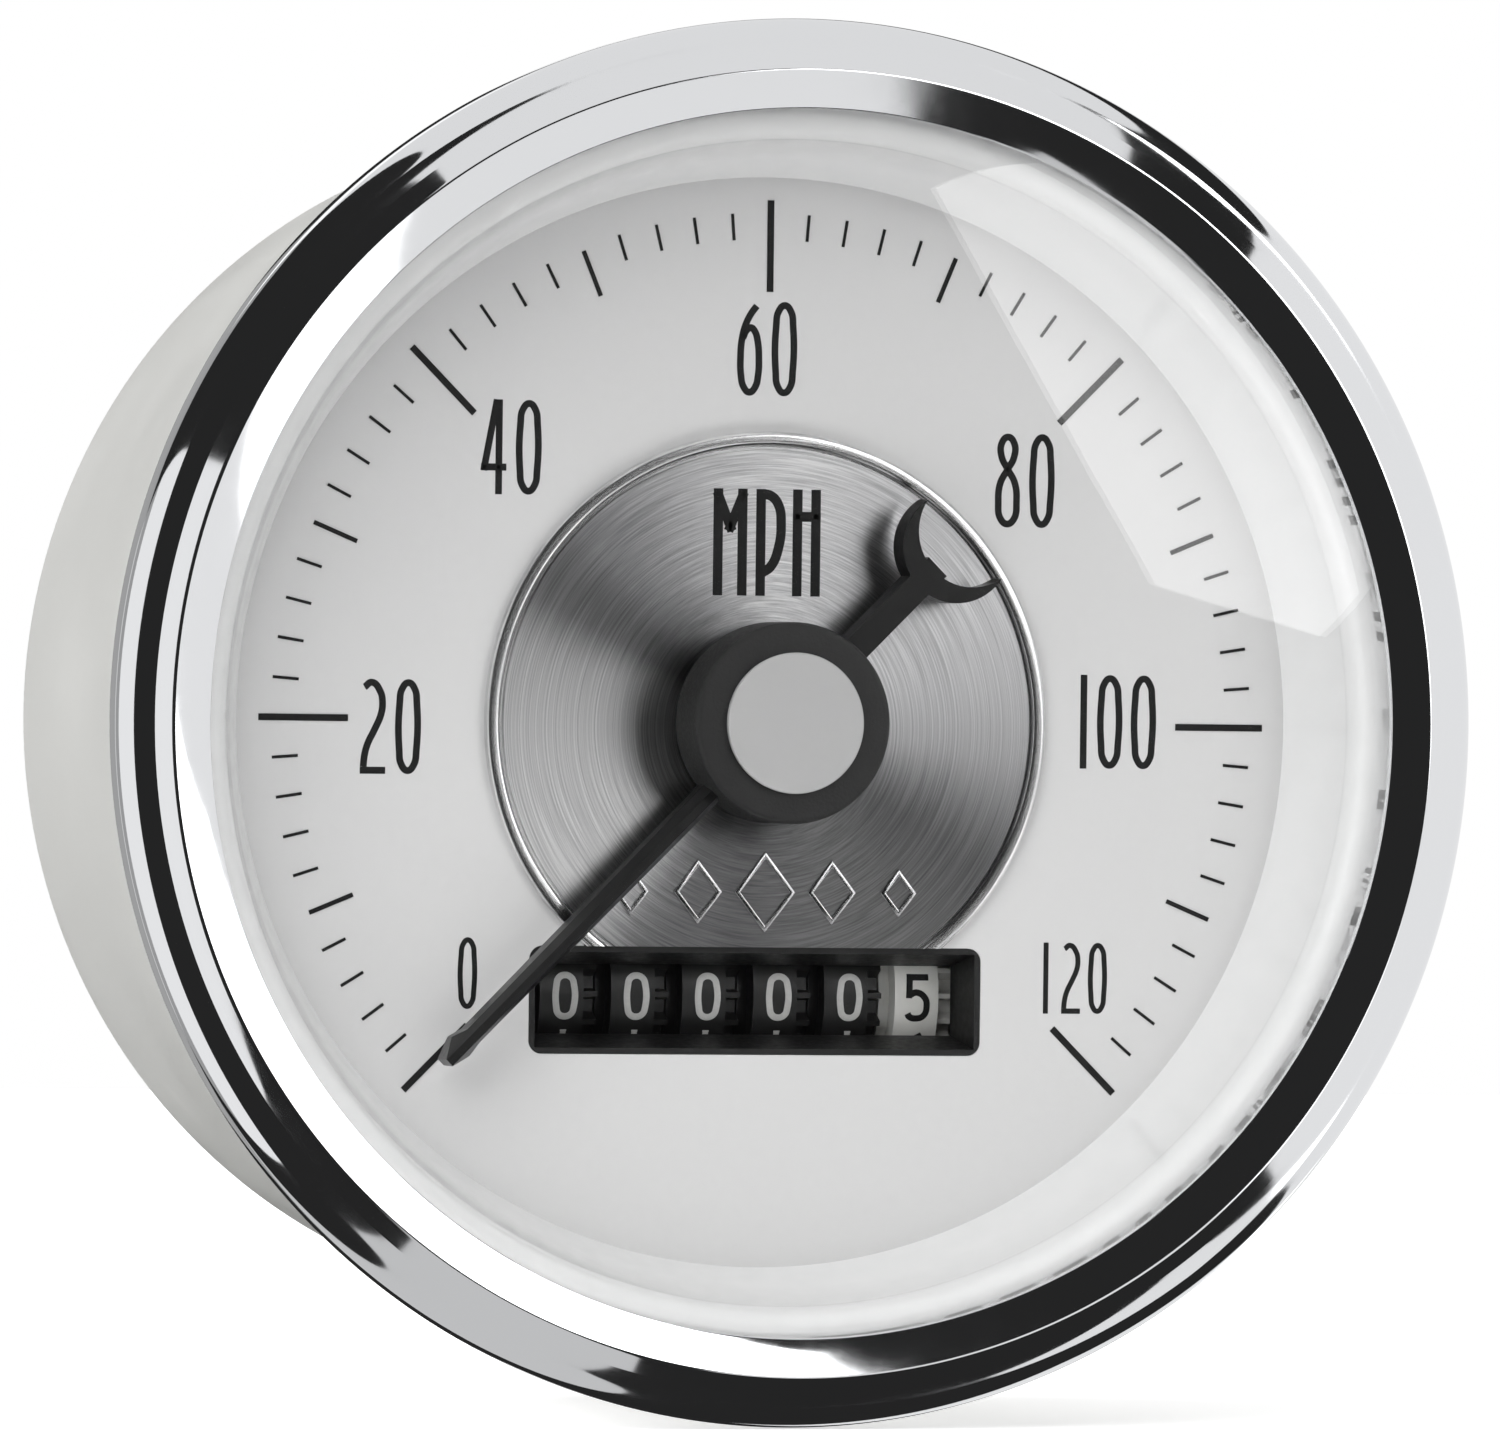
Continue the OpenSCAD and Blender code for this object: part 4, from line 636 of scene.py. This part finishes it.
# The raised lozenges are struck up from the disc and polished by wear, so they shine at their edges
struck_aluminium, tree, shader = surface("struck_polished_aluminium", "#D5D5D6", 0.2, Metallic=1.0)
mottle(tree, shader, 0.3, "#C6C6C7", "#E0E0E1", 0.14, 0.26, 0.004)
LOZENGE_W = 2.1
LOZENGE_H = 2.7
LOZENGE_PITCH = 4.6
LOZENGE_Y = -11.2
LINE_W = 0.32
LINE_H = 0.15
lozenges = bmesh.new()
for place_in_row in range(-2, 3):
    share = 1 - 0.2 * abs(place_in_row)
    at = Matrix.Translation((place_in_row * LOZENGE_PITCH, LOZENGE_Y, DISC_Z))
    outline = bmesh.ops.create_circle(lozenges, cap_ends=True, segments=4, radius=1.0)["verts"]
    bmesh.ops.scale(lozenges, vec=(LOZENGE_W * share, LOZENGE_H * share, 1), verts=outline)
    top = list({f for v in outline for f in v.link_faces})
    bmesh.ops.inset_region(lozenges, faces=top, thickness=LINE_W, depth=0, use_boundary=True,
                           use_even_offset=True)
    bmesh.ops.delete(lozenges, geom=top, context="FACES_ONLY")
    ring_faces = list({f for v in outline for f in v.link_faces})
    risen = bmesh.ops.extrude_face_region(lozenges, geom=ring_faces)["geom"]
    risen_verts = [v for v in risen if isinstance(v, bmesh.types.BMVert)]
    bmesh.ops.translate(lozenges, verts=risen_verts, vec=(0, 0, LINE_H))
    here = list({v for f in ring_faces for v in f.verts} | set(risen_verts))
    bmesh.ops.transform(lozenges, matrix=at, verts=here)
bmesh.ops.recalc_face_normals(lozenges, faces=lozenges.faces)
sharp = [e for e in lozenges.edges if len(e.link_faces) == 2 and e.calc_face_angle() > math.radians(40)]
bmesh.ops.bevel(lozenges, geom=sharp, offset=0.1, offset_type="OFFSET", segments=3, profile=0.5,
                affect="EDGES", material=-1, clamp_overlap=True)
piece("lozenges_raised", lozenges, "housing", struck_aluminium, "disc_ornament")

# The unit: each letter with its left edge and its width in mm
UNIT = [("M", -3.83, 2.33), ("P", -0.9, 2.05), ("H", 1.62, 1.92)]
UNIT_LOW = 8.36
UNIT_H = 7.06
UNIT_PEN = 0.66
shape = printed([(letter, left, UNIT_LOW, width, UNIT_H) for letter, left, width in UNIT], UNIT_PEN)
bmesh.ops.translate(shape, verts=shape.verts, vec=(0, 0, DISC_Z))
piece("unit_print", shape, "housing", black_ink)

# Pointer
# The blade is pressed aluminium with a ridge down its middle and a crescent behind, sprayed black. It is
# riveted under a turned hub with a grained black skin, and a grey cap closes the hub.

# Sprayed black: nearly smooth, with a faint sheen along the ridge
pointer_black, tree, shader = surface("black_sprayed_aluminium", "#101010", 0.34, Coat_Weight=0.15,
                                      Specular_IOR_Level=0.35)
shader.inputs["Coat Roughness"].default_value = 0.15
mottle(tree, shader, 0.5, "#0D0D0D", "#151515", 0.28, 0.4, 0.002)
dress(pointer_black, "pointer_blade")

# Grained lacquer: matt, and dark grey where it catches the light
hub_black, tree, shader = surface("black_grained_lacquer", "#1F1F1F", 0.55)
mottle(tree, shader, 0.22, "#181818", "#2C2C2C", 0.48, 0.68, 0.03, 2.0)
HUB_R = 6.64
HUB_BACK = -4.8
HUB_FRONT = 0.4
HUB_EDGE = 0.4
HUB_HOLE_R = 0.62
hub = spun([(HUB_HOLE_R, HUB_BACK), (HUB_R - 0.15, HUB_BACK), (HUB_R, HUB_BACK + 0.15)]
           + arc(HUB_R - HUB_EDGE, HUB_FRONT - HUB_EDGE, HUB_EDGE, HUB_EDGE, 0, 90, 6)
           + [(4.2, HUB_FRONT), (HUB_HOLE_R, HUB_FRONT)], steps=128)
piece("hub_grained", hub, "pointer", hub_black, "pointer_hub")

# Satin enamel: one even mid grey
cap_grey, tree, shader = surface("grey_satin_enamel", "#ADADAD", 0.5)
mottle(tree, shader, 0.8, "#ABABAB", "#B0B0B0", 0.46, 0.54, 0.001)
CAP_R = 4.64
CAP_EDGE = 0.12
CAP_FRONT = HUB_FRONT + 0.57
SPIGOT_R = 1.5
SPIGOT_END = HUB_FRONT - 1
cap = spun([(0, SPIGOT_END), (SPIGOT_R, SPIGOT_END), (SPIGOT_R, HUB_FRONT), (CAP_R - 0.05, HUB_FRONT)]
           + arc(CAP_R - CAP_EDGE, CAP_FRONT - CAP_EDGE, CAP_EDGE, CAP_EDGE, 0, 90, 4)
           + [(3, CAP_FRONT), (0, CAP_FRONT)], closed=False, steps=128)
piece("cap_enamelled", cap, "pointer", cap_grey, "pointer_cap")

# Reflector ring
# A deep pressed ring, painted gloss white, that leads from the glass down to the dial. Its outer lip rolls
# over in a quarter round.

# Gloss enamel: white, with soft mirrored lights where the ring turns
gloss_white, tree, shader = surface("gloss_white_enamel", "#EDEDED", 0.22, Coat_Weight=0.5)
shader.inputs["Coat Roughness"].default_value = 0.08
mottle(tree, shader, 1.4, "#E8E9E9", "#F1F1F1", 0.2, 0.26, 0.001)
SIGHT_R = 40.25
REFLECTOR_R = 45.0
REFLECTOR_WALL = 0.4
GLASS_BACK = 1.6
ROLL = 1.95
ROLL_Z = GLASS_BACK - ROLL
INNER_ROLL = ROLL - REFLECTOR_WALL
FOOT_R = 36.0
reflector = spun([(REFLECTOR_R, GLASS_BACK)] + arc(SIGHT_R, ROLL_Z, ROLL, ROLL, 90, 180, 16)
                 + [(37.2, -3.4), (FOOT_R, DIAL_Z), (FOOT_R + REFLECTOR_WALL, DIAL_Z)]
                 + arc(SIGHT_R, ROLL_Z, INNER_ROLL, INNER_ROLL, 180, 90, 16)
                 + [(REFLECTOR_R, GLASS_BACK - REFLECTOR_WALL)])
piece("reflector_white", reflector, "housing", gloss_white, "reflector_ring")

# Rubber ring
# An extruded black rubber cord, cut to length and joined into a ring, lies round the glass and takes up its
# play in the bezel.

# Extruded rubber: matt and nearly black
black_rubber, tree, shader = surface("black_extruded_rubber", "#1A1A1A", 0.7)
mottle(tree, shader, 0.4, "#151515", "#222222", 0.62, 0.78, 0.008)
dress(black_rubber, "lens_gasket")

# Glass
# Clear mineral glass, a little domed over the dial, so that a lamp slides over it as a curved patch. Its
# edge is ground to a bevel that lies under the bezel.

# Polished glass: all that shows of it is what it mirrors, bent a little by ripples some 17 mm wide
clear_glass, tree, shader = surface("clear_mineral_glass", "#FFFFFF", 0.0)
tree.nodes.remove(shader)
seen_through = add(tree, "ShaderNodeBsdfTransparent", values={"Color": linear("#FFFFFF")})
shine = add(tree, "ShaderNodeBsdfAnisotropic", values={"Color": linear("#FFFFFF"), "Roughness": 0.0})
# Each face mirrors a little of what meets it square on and more at a slant, from either side
slant = add(tree, "ShaderNodeLayerWeight", values={"Blend": 0.5})
steep = add(tree, "ShaderNodeMath", {0: slant.outputs["Facing"]}, {1: 5.0}, operation="POWER")
SQUARE_ON = 0.034
share = add(tree, "ShaderNodeMath", {0: steep.outputs["Value"]}, {1: 1.0 - SQUARE_ON, 2: SQUARE_ON},
            operation="MULTIPLY_ADD")
place = add(tree, "ShaderNodeTexCoord")
ripple = add(tree, "ShaderNodeTexNoise", {"Vector": place.outputs["Object"]}, {"Scale": 60.0, "Detail": 1.0})
waviness = add(tree, "ShaderNodeBump", {"Height": ripple.outputs["Fac"]},
               {"Strength": 0.15, "Distance": 0.00002})
tree.links.new(waviness.outputs["Normal"], shine.inputs["Normal"])
glass_mix = add(tree, "ShaderNodeMixShader", {0: share.outputs["Value"], 1: seen_through.outputs["BSDF"],
                                              2: shine.outputs["BSDF"]})
tree.links.new(glass_mix.outputs["Shader"], tree.nodes["Material Output"].inputs["Surface"])


DOME = 0.5


def dome(height, steps=10):
    """Points over the domed middle of the glass, from its axis outwards."""
    return [(SIGHT_R * i / steps, height + DOME * (1 - (i / steps) ** 2)) for i in range(steps + 1)]


GLASS_R = 44.1
GLASS_FRONT = 3.0
BEVEL = 0.45
glass = spun(dome(GLASS_BACK) + [(GLASS_R - 0.1, GLASS_BACK), (GLASS_R, GLASS_BACK + 0.1),
                                 (GLASS_R, GLASS_FRONT - BEVEL), (42.8, GLASS_FRONT)]
             + dome(GLASS_FRONT)[::-1], closed=False)
piece("glass_domed", glass, "housing", clear_glass, "lens")

# Bezel
# Thin brass, spun over a former in two steps, polished and chromed. Its back edge is rolled over the case's
# flange and holds the glass, rubber ring and reflector together.

# Polished chrome: a cool mirror. Wiping has hazed it in spots of about 7 mm, and the brass under it waves
# every 11 mm or so.
chrome, tree, shader = surface("polished_chrome_plate", "#E9EAEC", 0.05, Metallic=1.0)
place = add(tree, "ShaderNodeTexCoord")
haze = add(tree, "ShaderNodeTexNoise", {"Vector": place.outputs["Object"]},
           {"Scale": 140.0, "Detail": 6.0, "Roughness": 0.65})
gloss = add(tree, "ShaderNodeMapRange", {"Value": haze.outputs["Fac"]},
            {"From Min": 0.35, "From Max": 0.75, "To Min": 0.03, "To Max": 0.09})
ripple = add(tree, "ShaderNodeTexNoise", {"Vector": place.outputs["Object"]}, {"Scale": 90.0, "Detail": 1.0})
waviness = add(tree, "ShaderNodeBump", {"Height": ripple.outputs["Fac"]},
               {"Strength": 0.25, "Distance": 0.00004})
tree.links.new(gloss.outputs["Result"], shader.inputs["Roughness"])
tree.links.new(waviness.outputs["Normal"], shader.inputs["Normal"])


def bulge(start, end, rise, steps):
    """Points that rise that far over the straight line between two points, without the first one."""
    shares = [(i + 1) / steps for i in range(steps)]
    across = end[0] - start[0]
    up = end[1] - start[1]
    return [(start[0] + across * s, start[1] + up * s + 4 * rise * s * (1 - s)) for s in shares]


# From the rim in: a bead that flattens out, the foot of the second step, its crest, and the slope to the
# glass
BEZEL_R = 46.2
BAND = 1.5
BEAD_W = 1.8
BEAD_H = 1.82
METAL = 0.6
LIP_R = 43.6
BACK_EDGE = 0.4
SIGHT_EDGE = 0.08
bead_r = BEZEL_R - BEAD_W
bead = arc(bead_r, BAND, BEAD_W, BEAD_H, 0, 76, 32)
foot = (43.95, 3.53)
shoulder = (43.0, 4.12)
crest = (42.75, 4.2)
bezel = spun([(LIP_R, 0)] + arc(BEZEL_R - BACK_EDGE, BACK_EDGE, BACK_EDGE, BACK_EDGE, -90, 0, 10)
             + bead + bulge(bead[-1], foot, -0.01, 8)
             + bulge(foot, shoulder, 0.005, 4) + bulge(shoulder, crest, 0.02, 8)
             + bulge(crest, (SIGHT_R, GLASS_FRONT + METAL), 0.03, 16)[:-1]
             + arc(SIGHT_R + SIGHT_EDGE, GLASS_FRONT + METAL - 0.06, SIGHT_EDGE, SIGHT_EDGE, 105, 180, 8)
             + [(SIGHT_R, GLASS_FRONT + 0.05), (SIGHT_R + 0.6, GLASS_FRONT), (crest[0], 3.5), (43.9, 2.93)]
             + arc(bead_r, BAND, BEAD_W - METAL, BEAD_W - METAL, 90, 0, 10)
             + [(BEZEL_R - METAL, METAL), (LIP_R, METAL)], steps=288)
piece("bezel_chromed", bezel, "housing", chrome, "bezel", crease=13)

# Floor, studio lights and camera
# The gauge stands on its rim on a white table. Large soft lights stand to its left, right and above, and
# the camera looks at the dial from a little to its left.

# A white laminate table: matt, and as bright as what lies behind it
table_white, tree, shader = surface("white_table", "#F4F4F4", 0.6)
place = add(tree, "ShaderNodeTexCoord")
grain = add(tree, "ShaderNodeTexNoise", {"Vector": place.outputs["Object"]},
            {"Scale": 400.0, "Detail": 3.0})
tint = add(tree, "ShaderNodeMix", {0: grain.outputs["Fac"]}, {6: linear("#F2F2F2"), 7: linear("#F7F7F7")},
           data_type="RGBA")
tree.links.new(tint.outputs[2], shader.inputs["Base Color"])
shader.inputs["Emission Color"].default_value = linear("#FFFFFF")
shader.inputs["Emission Strength"].default_value = 0.5
table = bmesh.new()
bmesh.ops.create_grid(table, x_segments=1, y_segments=1, size=0.45)
bmesh.ops.scale(table, vec=(1.8, 1.0, 1.0), verts=table.verts)
bmesh.ops.translate(table, verts=table.verts, vec=(0, 0.35, -BEZEL_R / 1000 - 0.00005))
table_mesh = bpy.data.meshes.new("table")
table.to_mesh(table_mesh)
table.free()
table_mesh.materials.append(table_white)
table_top = bpy.data.objects.new("table", table_mesh)
bpy.context.scene.collection.objects.link(table_top)
# The chrome shows the dark room below the gauge, as it does in the photograph, and not the table
table_top.visible_glossy = False


def heading(side, up):
    """The direction that lies so many degrees to the right of the dial's axis and above it."""
    side, up = math.radians(side), math.radians(up)
    return Vector((math.sin(side) * math.cos(up), -math.cos(side) * math.cos(up), math.sin(up)))


def room(right, front, up):
    """A place in the room, in metres from the dial. Its walls run 8 degrees askew to the dial's axis."""
    return heading(98, 0) * right + heading(8, 0) * front + Vector((0, 0, up))


def aimed(made, stand, look, turn):
    """Stands a light there, looks it that way, and turns it about its own axis."""
    made.matrix_world = (Matrix.Translation(stand) @ look.to_track_quat("-Z", "Y").to_matrix().to_4x4()
                         @ Matrix.Rotation(math.radians(turn), 4, "Z"))
    made.visible_camera = False


def panel(name, stand, look, wide, high, glow, turn=0, seen=True, lights=True):
    """A flat soft light of that width and height in metres. A chromed edge shows it as bright as its glow,
    unless it isn't seen in reflections. It lights paint as well, unless it only shows in reflections."""
    lamp = bpy.data.lights.new(name, "AREA")
    lamp.shape = "RECTANGLE"
    lamp.size = wide
    lamp.size_y = high
    lamp.energy = glow * math.pi * wide * high
    made = bpy.data.objects.new(name, lamp)
    bpy.context.scene.collection.objects.link(made)
    aimed(made, stand, look, turn)
    made.visible_glossy = seen
    made.visible_diffuse = lights


# White walls, a ceiling and a floor strip run past the gauge. The dark gaps between them, and the dark
# front where the camera stands, draw the black bands of the chrome.
RIGHT = heading(98, 0)
panel("wall_right", room(0.9, 0, 0.035), -RIGHT, 5.0, 1.24, 0.88, lights=False)
panel("wall_right_back", heading(135, -40) * 0.9, -heading(135, -40), 0.55, 0.45, 0.9)
panel("wall_left", room(-0.8, 0.0, -0.24), RIGHT, 1.18, 1.3, 0.92, lights=False)
panel("wall_left_back", room(-0.8, -1.25, -0.24), RIGHT, 1.3, 1.3, 0.35)
panel("ceiling", room(0.217, -0.385, 1.0), Vector((0, 0, -1)), 1.366, 4.23, 0.82, 8)
panel("floor_strip", room(-0.25, 0, -0.9), Vector((0, 0, 1)), 0.44, 4.0, 0.6, -8)
panel("front_low", heading(30, -19) * 1.2, -heading(30, -19), 0.64, 0.48, 0.85)
# The fill lights the dial, the side fill lights the case, and the back one shows in the case's left flank
panel("fill", heading(-38, 32) * 1.2, -heading(-38, 32), 1.0, 1.0, 3.35, seen=False)
panel("back_left", heading(-160, 9) * 1.2, -heading(-160, 9), 0.8, 1.5, 0.36, lights=False)
panel("side_fill", heading(-106, 42) * 1.2, -heading(-106, 42), 1.0, 1.0, 7.2, seen=False)

# An eight-sided softbox at the right front shows in the glass as a pale patch with a corner
softbox_cloth, tree, shader = surface("softbox_cloth", "#FFFFFF", 1.0, Emission_Strength=1.8)
shader.inputs["Emission Color"].default_value = linear("#FFFFFF")
octagon = bmesh.new()
bmesh.ops.create_circle(octagon, cap_ends=True, segments=8, radius=0.36)
octagon_mesh = bpy.data.meshes.new("softbox")
octagon.to_mesh(octagon_mesh)
octagon.free()
octagon_mesh.materials.append(softbox_cloth)
softbox = bpy.data.objects.new("softbox", octagon_mesh)
bpy.context.scene.collection.objects.link(softbox)
aimed(softbox, heading(29.9, 13.5) * 1.3, -heading(29.9, 13.5), 5.5)

world = bpy.data.worlds.new("studio")
bpy.context.scene.world = world
world.use_nodes = True
tree = world.node_tree
rays = add(tree, "ShaderNodeLightPath")
tone = add(tree, "ShaderNodeMix", {0: rays.outputs["Is Camera Ray"]},
           {6: linear("#282828"), 7: linear("#FFFFFF")}, data_type="RGBA")
tree.links.new(tone.outputs[2], tree.nodes["Background"].inputs["Color"])
bpy.context.scene.view_settings.view_transform = "Standard"

# The camera stands 1.03 m away, 16 degrees to the left, and frames the bezel. Its place is measured in
# radii of the dial's scale, and its focal length in pixels of a picture 1500 pixels wide.
SCALE_R = 34.5
FOCAL_PIXELS = 15545.7
PICTURE_W = 1500
roll = Matrix.Rotation(-0.012246, 3, "Z")
tilt = Matrix.Rotation(0.002761, 3, "X")
swing = Matrix.Rotation(0.280053, 3, "Y")
turn = roll @ tilt @ swing
eye = turn.transposed() @ Vector((-0.02804, -0.004752, 29.7673)) * SCALE_R + Vector((0, 0, DIAL_Z))
lens = bpy.data.cameras.new("camera")
lens.sensor_width = 36
lens.sensor_fit = "HORIZONTAL"
lens.lens = FOCAL_PIXELS * lens.sensor_width / PICTURE_W
camera = bpy.data.objects.new("camera", lens)
bpy.context.scene.collection.objects.link(camera)
upright = Matrix.Rotation(math.radians(90), 3, "X")
camera.matrix_world = Matrix.Translation(upright @ eye / 1000) @ (upright @ turn.transposed()).to_4x4()
lens.clip_start = 0.05
lens.clip_end = 50
bpy.context.scene.camera = camera
